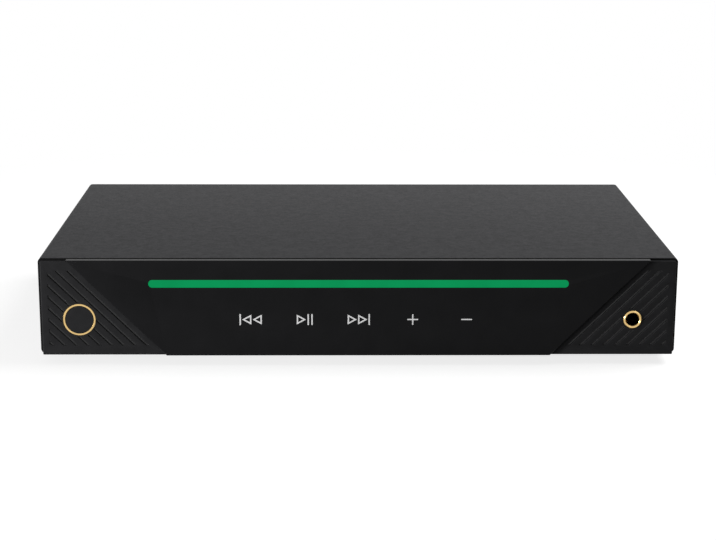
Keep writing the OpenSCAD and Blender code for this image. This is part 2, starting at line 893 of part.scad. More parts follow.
module antenna_window() {
    rod_y(lead_x, z_antenna, lead_r + lead_clear, y_wall - over, y_room + over);
}

module antenna_lead() {
    bend_dx = 30;
    bend_dy = 34;
    bend_dz = 4;
    leave_y = 16;
    turn_in = [22, 4];
    turn_out = [33, 6];
    plug_rise = 26;
    start = [lead_x, y_back + antenna_t, z_antenna];
    bend = [lead_x + bend_dx, y_room + bend_dy, z_board + bend_dz];
    far = [module_x0 + module_edge / 2, module_y0 + module_edge / 2, z_module + module_t + module_plug_h];
    rest = wire_route(bend, [turn_out.x, turn_out.y, 0], far, [0, 0, plug_rise], 14);
    color("#303032") wire(
        concat(
            wire_route(start, [0, leave_y, 0], bend, [-turn_in.x, -turn_in.y, 0], 10),
            [for (i = [1:len(rest) - 1]) rest[i]]),
        lead_r, [1, -1, 0]);
}

// Mains inlet and power switch

module mains_inlet() {
    w = inlet_w - 2 * inlet_rim;
    h = inlet_h - 2 * inlet_rim;
    color("#19191a") difference() {
        union() {
            along_y(y_panel, y_inlet) translate([inlet_x - inlet_w / 2, z_power - inlet_h / 2])
                round_rect([inlet_w, inlet_h], 2, 2);
            box([inlet_x - w / 2, y_panel - inlet_d, z_power - h / 2],
                [inlet_x + w / 2, y_panel, z_power + h / 2]);
        }
        along_y(y_inlet - inlet_mouth_d, y_inlet + over)
            translate([inlet_x, z_power]) bar_outline(inlet_mouth_w, inlet_mouth_h);
    }
}

module mains_pins() {
    y_seat = y_inlet - inlet_mouth_d;
    color("#d0d0d2") for (s = [-1, 1]) {
        x = inlet_x + s * inlet_pin_pitch / 2;
        rod_y(x, z_power, inlet_pin_r, y_seat, y_seat + inlet_pin_l);
        box([x - tab_t / 2, y_panel - inlet_d - tab_l, z_power - tab_w / 2],
            [x + tab_t / 2, y_panel - inlet_d, z_power + tab_w / 2]);
    }
}

rocker_half = switch_h / 2 - switch_rim - switch_wall - 0.95;
rocker_w = switch_w - 2 * switch_rim - 2 * switch_wall - 2 * rocker_gap;
rocker_sag = rocker_lip - rocker_dip;
rocker_hollow_r = (pow(rocker_half - rocker_land, 2) + pow(rocker_sag, 2)) / (2 * rocker_sag);

module switch_frame() {
    w = switch_w - 2 * switch_rim;
    h = switch_h - 2 * switch_rim;
    hollow = [rocker_w / 2 + rocker_gap, 0, h / 2 - switch_wall];
    color("#19191a") difference() {
        union() {
            along_y(y_panel, y_panel + switch_t) translate([switch_x - switch_w / 2, z_power - switch_h / 2])
                round_rect([switch_w, switch_h], 1.2, 1.2);
            box([switch_x - w / 2, y_panel - switch_d, z_power - h / 2],
                [switch_x + w / 2, y_panel, z_power + h / 2]);
        }
        box([switch_x, y_rocker - switch_depth, z_power] - hollow,
            [switch_x, y_panel + switch_t + over, z_power] + hollow);
        rod_x(y_rocker, z_rocker, rocker_pin_r + pin_gap, switch_x - w / 2 - over, switch_x + w / 2 + over);
    }
}

// The rocker rests tilted with its upper end pressed in
module power_rocker() {
    color("#101011") translate([0, y_rocker, z_rocker]) rotate([rocker_tilt, 0, 0]) {
        along_x(switch_x - rocker_w / 2, switch_x + rocker_w / 2) difference() {
            polygon([
                [rocker_lip, rocker_half], [rocker_lip, -rocker_half],
                [rocker_skirt, -rocker_half], [-rocker_keel, -rocker_keel_half],
                [-rocker_keel, rocker_keel_half], [rocker_skirt, rocker_half]
            ]);
            translate([rocker_dip + rocker_hollow_r, 0]) circle(rocker_hollow_r);
        }
        rod_x(0, 0, rocker_pin_r,
              switch_x - rocker_w / 2 - rocker_pin_l, switch_x + rocker_w / 2 + rocker_pin_l);
    }
}

module switch_tabs() {
    y_seat = y_panel - switch_d;
    color("#d0d0d2") for (s = [-1, 1])
        box([switch_x - tab_w / 2, y_seat - tab_l, z_power + s * switch_tab_z - tab_t / 2],
            [switch_x + tab_w / 2, y_seat, z_power + s * switch_tab_z + tab_t / 2]);
}

// Sockets on the main board

module lan_socket() {
    y_mouth = y_panel + lan_proud;
    z_mouth = z_board + lan_foot;
    color("#b4b6b8") difference() {
        box([lan_x - lan_w / 2, y_mouth - lan_d, z_board], [lan_x + lan_w / 2, y_mouth, z_board + lan_h]);
        box([lan_x - lan_mouth_w / 2, y_mouth - lan_mouth_d, z_mouth],
            [lan_x + lan_mouth_w / 2, y_mouth + over, z_mouth + lan_mouth_h]);
        box([lan_x - lan_key_w / 2, y_mouth - lan_mouth_d, z_mouth - lan_key_h],
            [lan_x + lan_key_w / 2, y_mouth + over, z_mouth + over]);
        lan_lamp_pair(thread_gap, over);
    }
}

// The two lamps over the network socket's mouth, grown by gap and run out of the face by reach
module lan_lamp_pair(gap, reach) {
    y_mouth = y_panel + lan_proud;
    z = z_board + (lan_foot + lan_mouth_h + lan_h) / 2;
    for (s = [-1, 1])
        box([lan_x + s * lamp_spread - lamp_w / 2 - gap, y_mouth - lamp_d, z - lamp_h / 2 - gap],
            [lan_x + s * lamp_spread + lamp_w / 2 + gap, y_mouth + reach, z + lamp_h / 2 + gap]);
}

module lan_lamps() {
    color("#c8d880") lan_lamp_pair(0, 0);
}

module lan_contacts() {
    y_seat = y_panel + lan_proud - lan_mouth_d;
    z_seat = z_board + lan_foot + lan_mouth_h - contact_drop;
    color("#d8b060") for (i = [0:contact_count - 1]) {
        x = lan_x + (i - (contact_count - 1) / 2) * contact_pitch;
        box([x - contact_t / 2, y_seat, z_seat],
            [x + contact_t / 2, y_seat + contact_l, z_seat + contact_t]);
    }
}

module usb_socket() {
    y_mouth = y_panel + usb_proud;
    z_lo = z_board + usb_lift;
    tab_in = 1.5;
    tab_half = 1;
    tab_d = 4;
    color("#c4c6c8") {
        difference() {
            box([usb_x - usb_w / 2, y_mouth - usb_d, z_lo], [usb_x + usb_w / 2, y_mouth, z_lo + usb_h]);
            box([usb_x - usb_w / 2 + usb_wall, y_mouth - usb_d + usb_back, z_lo + usb_wall],
                [usb_x + usb_w / 2 - usb_wall, y_mouth + over, z_lo + usb_h - usb_wall]);
        }
        for (s = [-1, 1])
            box([usb_x + s * (usb_w / 2 - tab_in) - tab_half, y_mouth - usb_d, z_board],
                [usb_x + s * (usb_w / 2 - tab_in) + tab_half, y_mouth - usb_d + tab_d, z_lo]);
    }
}

module usb_tongue() {
    tongue_w = usb_w - 2 * usb_wall - 2 * usb_tongue_gap;
    y_seat = y_panel + usb_proud - usb_d + usb_back;
    z_top_face = z_board + usb_lift + usb_h - usb_wall - usb_tongue_gap;
    color("#e6e6e2")
        box([usb_x - tongue_w / 2, y_seat, z_top_face - usb_tongue_t],
            [usb_x + tongue_w / 2, y_seat + usb_tongue_l, z_top_face]);
}

module optical_socket() {
    half_mouth = optical_mouth_w / 2;
    color("#1a1a1c") difference() {
        box([optical_x - optical_w / 2, y_optical - optical_d, z_board],
            [optical_x + optical_w / 2, y_optical, z_board + optical_h]);
        box([optical_x - half_mouth, y_optical - optical_mouth_d, z_optical - optical_mouth_h / 2],
            [optical_x + half_mouth, y_optical + over, z_optical + optical_mouth_h / 2]);
        rod_x(y_shutter, z_shutter, shutter_pin_r + pin_gap,
              optical_x - half_mouth - shutter_pin_l - 0.1, optical_x + half_mouth + shutter_pin_l + 0.1);
    }
}

// A spring flap that hangs from its pins and swings inwards
module optical_shutter() {
    half_flap = optical_mouth_w / 2 - shutter_gap;
    z_lo = z_optical - optical_mouth_h / 2 + shutter_gap;
    color("#29292b") {
        along_x(optical_x - half_flap, optical_x + half_flap) translate([y_shutter, 0]) {
            translate([-shutter_t / 2, z_lo]) square([shutter_t, z_shutter - z_lo]);
            translate([0, z_shutter]) circle(shutter_t / 2);
        }
        rod_x(y_shutter, z_shutter, shutter_pin_r,
              optical_x - optical_mouth_w / 2 - shutter_pin_l,
              optical_x + optical_mouth_w / 2 + shutter_pin_l);
    }
}

module rca_housings() {
    color("#19191a") for (x = [coax_x, left_rca_x, right_rca_x]) difference() {
        box([x - rca_block_w / 2, y_inner - rca_block_d, z_board],
            [x + rca_block_w / 2, y_inner, z_rca + rca_block_w / 2]);
        rod_y(x, z_rca, rca_r + thread_gap, y_inner - rca_tail - thread_gap, y_inner + over);
    }
}

module rca_shells() {
    edge = 0.4;
    r_in = rca_r - rca_wall;
    y_end = y_panel + rca_len;
    color("#c9a45c") for (x = [coax_x, left_rca_x, right_rca_x]) turned_y(x, z_rca) polygon([
        [r_in, y_inner - rca_tail], [rca_r, y_inner - rca_tail], [rca_r, y_panel],
        [rca_flange_r, y_panel], [rca_flange_r, y_panel + rca_flange_t - edge],
        [rca_flange_r - edge, y_panel + rca_flange_t], [rca_r, y_panel + rca_flange_t],
        [rca_r, y_end - edge], [rca_r - edge, y_end], [r_in, y_end]
    ]);
}

// The insulator inside a phono socket, with the hole for the plug's centre pin
module rca_insulator(x, tint) {
    r = rca_r - rca_wall - thread_gap;
    y_end = y_panel + rca_len - 1;
    color(tint) difference() {
        rod_y(x, z_rca, r, y_inner - rca_tail, y_end);
        rod_y(x, z_rca, rca_hole_r, y_end - rca_hole_d, y_end + over);
    }
}

module coax_insulator() {
    rca_insulator(coax_x, "#202022");
}

module left_insulator() {
    rca_insulator(left_rca_x, "#e8e8e6");
}

module right_insulator() {
    rca_insulator(right_rca_x, "#b82a2a");
}

module reset_switch() {
    y_block = y_inner - reset_block_gap;
    color("#19191a") difference() {
        box([reset_x - reset_block / 2, y_block - reset_block, z_board],
            [reset_x + reset_block / 2, y_block, z_board + reset_block]);
        rod_y(reset_x, z_reset, reset_r + thread_gap, y_block - reset_block + 1, y_block + over);
    }
}

// A plunger with a collar that stops against the inside of the rear panel
module reset_button() {
    stem = 4;
    proud = 1.4;
    y_collar = y_inner - thread_gap;
    edge = 0.3;
    color("#2a2a2c") turned_y(reset_x, z_reset) polygon([
        [0, y_inner - reset_block_gap - stem], [reset_r, y_inner - reset_block_gap - stem],
        [reset_r, y_collar - reset_collar_t], [reset_collar_r, y_collar - reset_collar_t],
        [reset_collar_r, y_collar], [reset_r, y_collar], [reset_r, y_panel + proud - edge],
        [reset_r - edge, y_panel + proud], [0, y_panel + proud]
    ]);
}

// Boards

main_pillars = [for (x = [main_x0 + pillar_inset, (main_x0 + main_x1) / 2, main_x1 - pillar_inset],
                     y = [main_y0 + pillar_inset, main_y1 - rear_pillar]) [x, y]];
psu_pillars = [for (x = [psu_x0 + pillar_inset, psu_x1 - pillar_inset],
                    y = [psu_y0 + pillar_inset, psu_y1 - pillar_inset]) [x, y]];

// A board with screw holes
module board(lo, hi, places) {
    color("#1f5a3a") difference() {
        box([lo.x, lo.y, z_under], [hi.x, hi.y, z_board]);
        for (p = places) rod_z(p.x, p.y, hole_r, z_under - over, z_board + over);
    }
}

module main_board() {
    board([main_x0, main_y0], [main_x1, main_y1], main_pillars);
}

module psu_board() {
    board([psu_x0, psu_y0], [psu_x1, psu_y1], psu_pillars);
}

module board_pillars() {
    color("#b8b090") {
        for (p = concat(main_pillars, psu_pillars)) pillar(p, z_under);
        for (p = jack_pillars) pillar(p, z_jack_board - board_t);
    }
}

module pillar(place, z_end) {
    difference() {
        rod_z(place.x, place.y, pillar_r, z_floor, z_end);
        rod_z(place.x, place.y, hole_r, z_end - pillar_pilot, z_end + over);
    }
}

module board_screws() {
    grip = board_t + pillar_grip;
    color("#8c8c90") {
        for (p = concat(main_pillars, psu_pillars))
            translate([p.x, p.y, z_board]) rotate([180, 0, 0]) screw(grip);
        for (p = jack_pillars) translate([p.x, p.y, z_jack_board]) rotate([180, 0, 0]) screw(grip);
    }
}

// A block standing on the main board at an offset from its front left corner
module on_main(at, size) {
    translate([main_x0 + at.x, main_y0 + at.y, z_board]) cube(size);
}

chip_x = 118;
chip_y = 28;
chip_row = 24;
chip_t = 1.2;
processor_w = 14;
converter_x = 140;
converter_w = 10;
converter_l = 12;
clock_w = 8;
clock_l = 10;
amp_x = 136;
amp_w = 5;
amp_l = 6;
amp_pitch = 9;
regulator_x = 20;
regulator_y = 12;
regulator_w = 5;
regulator_h = 2.2;
regulator_pitch = 8;
filter_x = 112;
filter_y = 76;
filter_r = 2.6;
filter_h = 7;
filter_pitch = 10;

module main_board_chips() {
    color("#19191b") {
        on_main([chip_x, chip_y + chip_row], [processor_w, processor_w, chip_t]);
        on_main([converter_x, chip_y + chip_row], [converter_w, converter_l, chip_t]);
        on_main([chip_x, chip_y], [clock_w, clock_l, chip_t]);
        for (i = [0:3]) on_main([amp_x + i * amp_pitch, chip_y], [amp_w, amp_l, chip_t]);
        for (i = [0:2])
            on_main([regulator_x + i * regulator_pitch, regulator_y],
                    [regulator_w, regulator_w, regulator_h]);
    }
    color("#3c3f46") for (i = [0:5])
        rod_z(main_x0 + filter_x + i * filter_pitch, main_y0 + filter_y, filter_r,
              z_board, z_board + filter_h);
}

module_from_side = 42;
module_from_front = 26;
module_x0 = main_x0 + module_from_side;
module_y0 = main_y0 + module_from_front;
module_w = 54;
module_l = 40;
module_t = 1.2;
module_lift = 4;
module_edge = 6;
module_plug_h = 1.2;
z_module = z_board + module_lift;

// A small plug-in board on two header strips, with the antenna's plug at its corner
module network_module() {
    strip = 4;
    color("#223c6a")
        box([module_x0, module_y0, z_module],
            [module_x0 + module_w, module_y0 + module_l, z_module + module_t]);
    color("#19191b") for (x = [module_x0 + 1, module_x0 + module_w - strip - 1])
        box([x, module_y0 + 8, z_board], [x + strip, module_y0 + module_l - 2, z_module]);
    color("#d8b060") rod_z(module_x0 + module_edge / 2, module_y0 + module_edge / 2, 1.2,
                           z_module + module_t, z_module + module_t + module_plug_h);
}

module module_shield() {
    wall = 0.4;
    height = 4;
    lo = [module_x0 + 8, module_y0 + module_edge + 2, z_module + module_t];
    hi = [module_x0 + module_w - 3, module_y0 + module_l - 3, z_module + module_t + height];
    color("#c4c6c8") difference() {
        box(lo, hi);
        box(lo + [wall, wall, -over], hi - [wall, wall, wall]);
    }
}

// Power board parts

core_w = 30;
core_l = 24;
core_h = 24;
core_side = 40;
core_front = 52;
core_x = psu_x0 + core_side;
core_y = psu_y0 + core_front;

// A ferrite core of two legs round a wound bobbin
module psu_transformer() {
    leg = 6;
    post = 8;
    gap = 0.3;
    lo = [core_x - core_w / 2, core_y - core_l / 2, z_board];
    hi = [core_x + core_w / 2, core_y + core_l / 2, z_board + core_h];
    window = (core_w - 2 * leg - post) / 2;
    color("#2c2c30") difference() {
        box(lo, hi);
        for (x = [lo.x + leg, hi.x - leg - window])
            box([x, lo.y - over, lo.z + leg], [x + window, hi.y + over, hi.z - leg]);
    }
    color("#c8a030") difference() {
        box([core_x - post / 2 - window + gap, lo.y - 4, lo.z + leg + gap],
            [core_x + post / 2 + window - gap, hi.y + 4, hi.z - leg - gap]);
        box([core_x - post / 2 - gap, lo.y - gap, lo.z], [core_x + post / 2 + gap, hi.y + gap, hi.z]);
    }
}

// Upright capacitors as [x offset, y offset, radius, height] from the board's front left corner
capacitors = [[16, 84, 8, 26], [36, 88, 6, 20], [16, 22, 5, 20], [30, 22, 5, 20], [44, 22, 5, 20]];

module psu_capacitors() {
    edge = 0.8;
    color("#26304a") for (c = capacitors)
        translate([psu_x0 + c[0], psu_y0 + c[1], z_board]) rotate_extrude() polygon([
            [0, 0], [c[2], 0], [c[2], c[3] - edge], [c[2] - edge, c[3]], [0, c[3]]
        ]);
}

module psu_heatsink() {
    plate = 2;
    fin_t = 1.4;
    fin_l = 8;
    height = 24;
    length = 34;
    fins = 7;
    side = 13;
    front = 34;
    x = psu_x1 - side;
    y = psu_y0 + front;
    pitch = (length - fin_t) / (fins - 1);
    color("#8f9296") along_z(z_board, z_board + height) translate([x, y]) {
        square([plate, length]);
        for (i = [0:fins - 1]) translate([0, i * pitch]) square([plate + fin_l, fin_t]);
    }
}

// Plugs on the boards and the wires between them

plug_h = 7;
plug_w = 6;
plug_margin = 1;
dc_wires = 4;
dc_pitch = 2.6;
dc_from_front = 88;
dc_edge = 10;
dc_plug_l = dc_wires * dc_pitch + plug_margin;
dc_y = psu_y0 + dc_from_front;
dc_psu_x = psu_x1 - dc_edge;
dc_main_x = main_x0 + dc_edge;
mains_plug = [12, 8, 8];
mains_plug_side = 52;
mains_plug_edge = 3;
mains_plug_x = psu_x0 + mains_plug_side;
mains_plug_y = psu_y1 - mains_plug_edge;
phones_wires = 3;
phones_edge = 4;
phones_side = 14;
phones_plug_l = phones_wires * dc_pitch + plug_margin;
phones_y0 = jack_board_y1 - phones_edge;
phones_x1 = jack_x - phones_side;
phones_y1 = main_y0 + phones_edge;
ribbon_plug_d = 5;
ribbon_plug_h = 3.4;
ribbon_plug_side = 1.5;
ribbon_edge = 3;
ribbon_y1 = main_y0 + ribbon_edge;

module board_connectors() {
    color("#e2ded2") {
        for (x = [dc_psu_x, dc_main_x])
            box([x - plug_w / 2, dc_y - dc_plug_l / 2, z_board],
                [x + plug_w / 2, dc_y + dc_plug_l / 2, z_board + plug_h]);
        box([mains_plug_x - mains_plug.x / 2, mains_plug_y - mains_plug.y, z_board],
            [mains_plug_x + mains_plug.x / 2, mains_plug_y, z_board + mains_plug.z]);
        phones_plug(jack_x, phones_y0, z_jack_board);
        phones_plug(phones_x1, phones_y1, z_board);
        box([ribbon_x - ribbon_w / 2 - ribbon_plug_side, ribbon_y1, z_board],
            [ribbon_x + ribbon_w / 2 + ribbon_plug_side, ribbon_y1 + ribbon_plug_d, z_board + ribbon_plug_h]);
    }
}

module phones_plug(x, y, z) {
    depth = 4;
    box([x - phones_plug_l / 2, y - depth / 2, z], [x + phones_plug_l / 2, y + depth / 2, z + plug_h]);
}

module mains_harness() {
    r = 1.2;
    steps = 12;
    loop = 12;
    drop = 8;
    reach = 10;
    y_tab = y_panel - inlet_d - tab_l;
    y_switch_tab = y_panel - switch_d - tab_l;
    left_tab = [inlet_x - inlet_pin_pitch / 2, y_tab, z_power];
    right_tab = [inlet_x + inlet_pin_pitch / 2, y_tab, z_power];
    upper_tab = [switch_x, y_switch_tab, z_power + switch_tab_z];
    lower_tab = [switch_x, y_switch_tab, z_power - switch_tab_z];
    plug = [mains_plug_x, mains_plug_y, z_board + mains_plug.z / 2];
    split = [mains_plug.x / 4, 0, 0];
    color("#7a4a2c") {
        wire(wire_route(right_tab, [0, -loop, 0], upper_tab, [0, -loop, 0], steps), r, [0, 0, 1]);
        wire(wire_route(lower_tab, [0, -drop, 0], plug + split, [0, reach, 0], steps), r, [0, 0, 1]);
        wire(wire_route(left_tab, [0, -drop, 0], plug - split, [0, reach, 0], steps), r, [0, 0, 1]);
    }
}

module dc_harness() {
    r = 0.8;
    rise = 14;
    up = [0, 0, rise];
    color("#8c2a2a") for (i = [0:dc_wires - 1]) {
        y = dc_y + (i - (dc_wires - 1) / 2) * dc_pitch;
        z = z_board + plug_h;
        wire(wire_route([dc_psu_x, y, z], up, [dc_main_x, y, z], up, 12), r, [0, 1, 0]);
    }
}

module headphone_harness() {
    r = 0.7;
    rise = 16;
    color("#d8d4c8") for (i = [0:phones_wires - 1]) {
        dx = (i - (phones_wires - 1) / 2) * dc_pitch;
        wire(
            wire_route(
                [jack_x + dx, phones_y0, z_jack_board + plug_h], [0, 0, rise],
                [phones_x1 + dx, phones_y1, z_board + plug_h], [0, 0, rise], 14),
            r, [1, 0, 0]);
    }
}

// A flat cable that sags between the touch board and the main board
module touch_ribbon() {
    steps = 24;
    y0 = y_pocket + ribbon_conn.y;
    z1 = z_board + ribbon_plug_h / 2;
    sag = 3;
    route = [for (i = [0:steps])
        let (t = i / steps, ease = t * t * (3 - 2 * t))
        [y0 + (ribbon_y1 - y0) * t, z_ribbon + (z1 - z_ribbon) * ease - sag * sin(180 * t)]];
    low = [for (p = route) p - [0, ribbon_t / 2]];
    high = [for (i = [steps:-1:0]) route[i] + [0, ribbon_t / 2]];
    color("#e6e6e2") along_x(ribbon_x - ribbon_w / 2, ribbon_x + ribbon_w / 2) polygon(concat(low, high));
}

top_cover();
base_tray();
rear_panel();
cover_screws();
rear_panel_screws();
foot_front_left();
foot_front_right();
foot_rear_left();
foot_rear_right();
foot_screws();
touch_panel();
light_bar();
panel_carrier();
left_corner_panel();
right_corner_panel();
trim_ring();
front_screws();
touch_board();
touch_pads();
bar_leds();
headphone_bush();
headphone_jack();
headphone_board();
wifi_antenna();
mains_inlet();
mains_pins();
switch_frame();
power_rocker();
switch_tabs();
lan_socket();
lan_contacts();
lan_lamps();
usb_socket();
usb_tongue();
optical_socket();
optical_shutter();
rca_housings();
rca_shells();
coax_insulator();
left_insulator();
right_insulator();
reset_switch();
reset_button();
main_board();
main_board_chips();
network_module();
module_shield();
board_pillars();
board_screws();
board_connectors();
psu_board();
psu_transformer();
psu_capacitors();
psu_heatsink();
mains_harness();
dc_harness();
headphone_harness();
touch_ribbon();
antenna_lead();
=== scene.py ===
"""Looks of a flat black network music streamer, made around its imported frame.

The frame gives the sizes and places. New pieces are surfaces worked out with numpy: a profile carried
along a path, or an outline raised off a face. Millimetres are written as a number times MM.
"""
import json
import math

import bmesh
import bpy
import numpy as np
from bpy.props import FloatProperty, FloatVectorProperty, PointerProperty
from mathutils import Matrix, Vector


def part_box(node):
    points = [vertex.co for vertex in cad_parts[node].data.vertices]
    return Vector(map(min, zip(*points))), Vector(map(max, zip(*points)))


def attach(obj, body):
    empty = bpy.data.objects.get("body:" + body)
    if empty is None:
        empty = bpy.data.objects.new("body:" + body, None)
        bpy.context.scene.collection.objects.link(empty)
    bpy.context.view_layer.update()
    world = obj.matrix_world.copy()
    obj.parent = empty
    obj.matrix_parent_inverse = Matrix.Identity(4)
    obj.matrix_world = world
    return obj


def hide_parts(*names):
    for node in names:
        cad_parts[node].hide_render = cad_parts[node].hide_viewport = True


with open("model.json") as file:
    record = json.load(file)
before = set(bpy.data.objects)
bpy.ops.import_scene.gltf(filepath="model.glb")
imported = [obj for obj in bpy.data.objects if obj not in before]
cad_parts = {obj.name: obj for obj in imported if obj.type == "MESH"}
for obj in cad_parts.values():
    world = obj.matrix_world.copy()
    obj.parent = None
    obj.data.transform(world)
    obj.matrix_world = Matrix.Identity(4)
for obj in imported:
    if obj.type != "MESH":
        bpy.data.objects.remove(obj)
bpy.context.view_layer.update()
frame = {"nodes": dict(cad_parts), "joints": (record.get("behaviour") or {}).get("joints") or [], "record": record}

bl_info = {
    "name": "Network Music Streamer",
    "version": (1, 0, 0),
    "blender": (4, 5, 0),
    "location": "View3D > Sidebar > Streamer",
    "description": "Finishes, printed marks, small metalwork and stage of a network music streamer",
    "category": "Object",
}

MM = 0.001
# An edge stays sharp past these angles, on the pieces made here and on those of the frame
MADE_SHARP = math.radians(35)
FRAME_SHARP = math.radians(25)
# The soft copies: points this near are one, faces this flat are one, and edges past this angle are rounded
MERGE_REACH = 0.001 * MM
FLAT_ANGLE = math.radians(0.5)
ROUNDED_ANGLE = math.radians(28)
# The middle of a noise's range, where nearly all of its values lie
NOISE_BAND = (0.3, 0.7)
# Places of a Mix node's colour sockets
MIX_LOW, MIX_HIGH, MIX_RESULT = 6, 7, 2

SLOT_OF = {row["node"]: row["material_slot"] for row in frame["record"]["subparts"]}
COLOUR_OF = {row["slot"]: tuple(row["base_color"]) for row in frame["record"]["materials"]}
BODY_OF = {
    node: body for body, nodes in frame["record"]["behaviour"]["bodies"].items() for node in nodes
}
JOINT_OF = {joint["name"]: joint for joint in frame["joints"]}


# Sizes and colours that a user would change

def length(name, description, default):
    """A length property in metres, shown in the scene's unit."""
    return FloatProperty(
        name=name, description=description, default=default, min=0.0, precision=5, unit="LENGTH")


def view_angle(name, description, degrees):
    """An angle property whose default is given in degrees."""
    return FloatProperty(
        name=name, description=description, default=math.radians(degrees), subtype="ANGLE")


def colour(name, description, default):
    """A linear colour property."""
    return FloatVectorProperty(
        name=name, description=description, default=default, size=3, min=0.0, max=1.0, subtype="COLOR")


class StreamerSizes(bpy.types.PropertyGroup):
    """Sizes of the pieces that are made here."""

    sheet: length("Sheet", "Thickness of the cover's steel sheet", 1.2 * MM)
    bend_radius: length("Bend radius", "Outer radius of the cover's folds", 2.2 * MM)
    lip_width: length("Lip width", "Width of the cover's lips under the base", 14 * MM)
    edge_radius: length("Edge radius", "Rounding of the sheet's cut edges under the paint", 0.35 * MM)
    groove_depth: length("Groove depth", "Depth of the corner panels' grooves", 0.8 * MM)
    groove_margin: length("Groove margin", "Border of the corner panels that no groove reaches", 2 * MM)
    mark_height: length("Mark height", "Height of the triangles in the touch marks", 5.0 * MM)
    mark_stroke: length("Mark stroke", "Stroke of the touch marks", 0.68 * MM)
    print_lift: length("Print lift", "Thickness of the printed marks", 0.03 * MM)
    rocker_dip: length("Rocker dip", "Distance of the rocker's hollow face from its hinge", 3.6 * MM)
    rocker_hollow: length("Rocker hollow", "Radius of the rocker's hollow face", 26.9 * MM)


class StreamerColours(bpy.types.PropertyGroup):
    """Colours of the pieces that show most."""

    cover: colour("Cover", "Powder coat of the cover", COLOUR_OF["cover_paint"])
    touch: colour("Touch panel", "Polished touch panel", (0.0064, 0.0064, 0.0069))
    moulding: colour("Corner panels", "Grained corner panels", COLOUR_OF["corner_plastic"])
    light: colour("Light bar", "Lit light bar", COLOUR_OF["light_green"])
    gold: colour("Gold", "Gold plate of the ring and the sockets", (0.7, 0.49, 0.21))
    mark: colour("Marks", "Printed touch marks", (0.36, 0.36, 0.36))


class StreamerStage(bpy.types.PropertyGroup):
    """Camera, lamps and floor."""

    lens: FloatProperty(
        name="Lens", description="Focal length in millimetres", default=86.545, unit="CAMERA")
    camera_place: FloatVectorProperty(
        name="Camera place", description="Where the camera stands", size=3, unit="LENGTH",
        default=(-13.65 * MM, -901.55 * MM, 249.37 * MM))
    pitch: view_angle("Pitch", "How far the camera looks down", 14.064)
    yaw: view_angle("Yaw", "How far the camera looks to the right", 0.94)
    roll: view_angle("Roll", "Turn of the camera about its own axis", 0.222)
    ambient: FloatProperty(name="Ambient", description="Light that comes from all round", default=0.2)
    floor_glow: FloatProperty(
        name="Floor glow", description="White that the floor adds where it is seen", default=0.76)


# Meshes

def grid_quads(rows, columns, loop_rows, loop_columns):
    """Corner numbers of the quads between neighbouring points of a grid."""
    row, column = np.meshgrid(
        np.arange(rows if loop_rows else rows - 1),
        np.arange(columns if loop_columns else columns - 1), indexing="ij")
    next_row = (row + 1) % rows
    next_column = (column + 1) % columns
    corners = [
        row * columns + column, row * columns + next_column,
        next_row * columns + next_column, next_row * columns + column,
    ]
    return np.stack(corners, -1).reshape(-1, 4)


def shell(points, loop_rows=False, loop_columns=False, caps=False):
    """Vertices and faces of a surface given as a grid of points; caps close its first and last row."""
    rows, columns = points.shape[:2]
    faces = grid_quads(rows, columns, loop_rows, loop_columns).tolist()
    if caps:
        last = (rows - 1) * columns
        faces.append(list(range(columns)))
        faces.append(list(range(last, last + columns)))
    return points.reshape(-1, 3), faces


def mesh_of(name, shells):
    """One mesh of several closed shells, with its faces turned outwards and its sharp edges kept."""
    vertices, faces, count = [], [], 0
    for points, quads in shells:
        vertices.append(points)
        faces += [[corner + count for corner in face] for face in quads]
        count += len(points)
    mesh = bpy.data.meshes.new(name)
    mesh.from_pydata(np.concatenate(vertices).tolist(), [], faces)
    work = bmesh.new()
    work.from_mesh(mesh)
    bmesh.ops.recalc_face_normals(work, faces=work.faces)
    work.to_mesh(mesh)
    work.free()
    mesh.shade_smooth()
    mesh.set_sharp_from_angle(angle=MADE_SHARP)
    return mesh


def add_piece(name, mesh, material, body):
    """Puts a mesh into the scene as a piece that rides on a body."""
    piece = bpy.data.objects.new(name, mesh)
    bpy.context.scene.collection.objects.link(piece)
    mesh.materials.clear()
    mesh.materials.append(material)
    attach(piece, body)
    return piece


def unit(vectors):
    """Each vector divided by its length."""
    return vectors / np.linalg.norm(vectors, axis=-1, keepdims=True)


def rounded_path(corners, radius, steps, closed):
    """Points along a line of straight runs whose corners are arcs, each tangent to both of its runs.

    An arc's centre lies on the corner's bisector, radius / sin(half angle) from the corner. Its points
    turn from one tangent point to the other by spherical interpolation.
    """
    corners = np.asarray(corners, float)
    if closed:
        corners = np.concatenate([corners[-1:], corners, corners[:1]])
    middle = corners[1:-1]
    back = unit(corners[:-2] - middle)
    onward = unit(corners[2:] - middle)
    half = np.arccos(np.clip((back * onward).sum(-1), -1, 1))[:, None] / 2
    centre = middle + unit(back + onward) * radius / np.sin(half)
    reach = radius / np.tan(half)
    start = middle + back * reach - centre
    end = middle + onward * reach - centre
    turn = (np.pi - 2 * half)[..., None]
    share = np.linspace(0, 1, steps)[None, :, None]
    from_start = np.sin((1 - share) * turn) * start[:, None]
    from_end = np.sin(share * turn) * end[:, None]
    points = (centre[:, None] + (from_start + from_end) / np.sin(turn)).reshape(-1, 2)
    if closed:
        return points
    return np.concatenate([corners[:1], points, corners[-1:]])


def side_normals(path):
    """Unit vectors to the right of an open path: the mean of both neighbouring runs, turned square."""
    runs = unit(np.roll(path, -1, 0) - path)
    before = np.roll(runs, 1, 0)
    runs[-1] = before[-1]
    before[0] = runs[0]
    along = unit(runs + before)
    return np.stack([along[:, 1], -along[:, 0]], -1)


def rectangle(width, height):
    """Corners of a rectangle about the origin."""
    signs = np.array([[-1, -1], [1, -1], [1, 1], [-1, 1]])
    return signs * np.array([width, height]) / 2


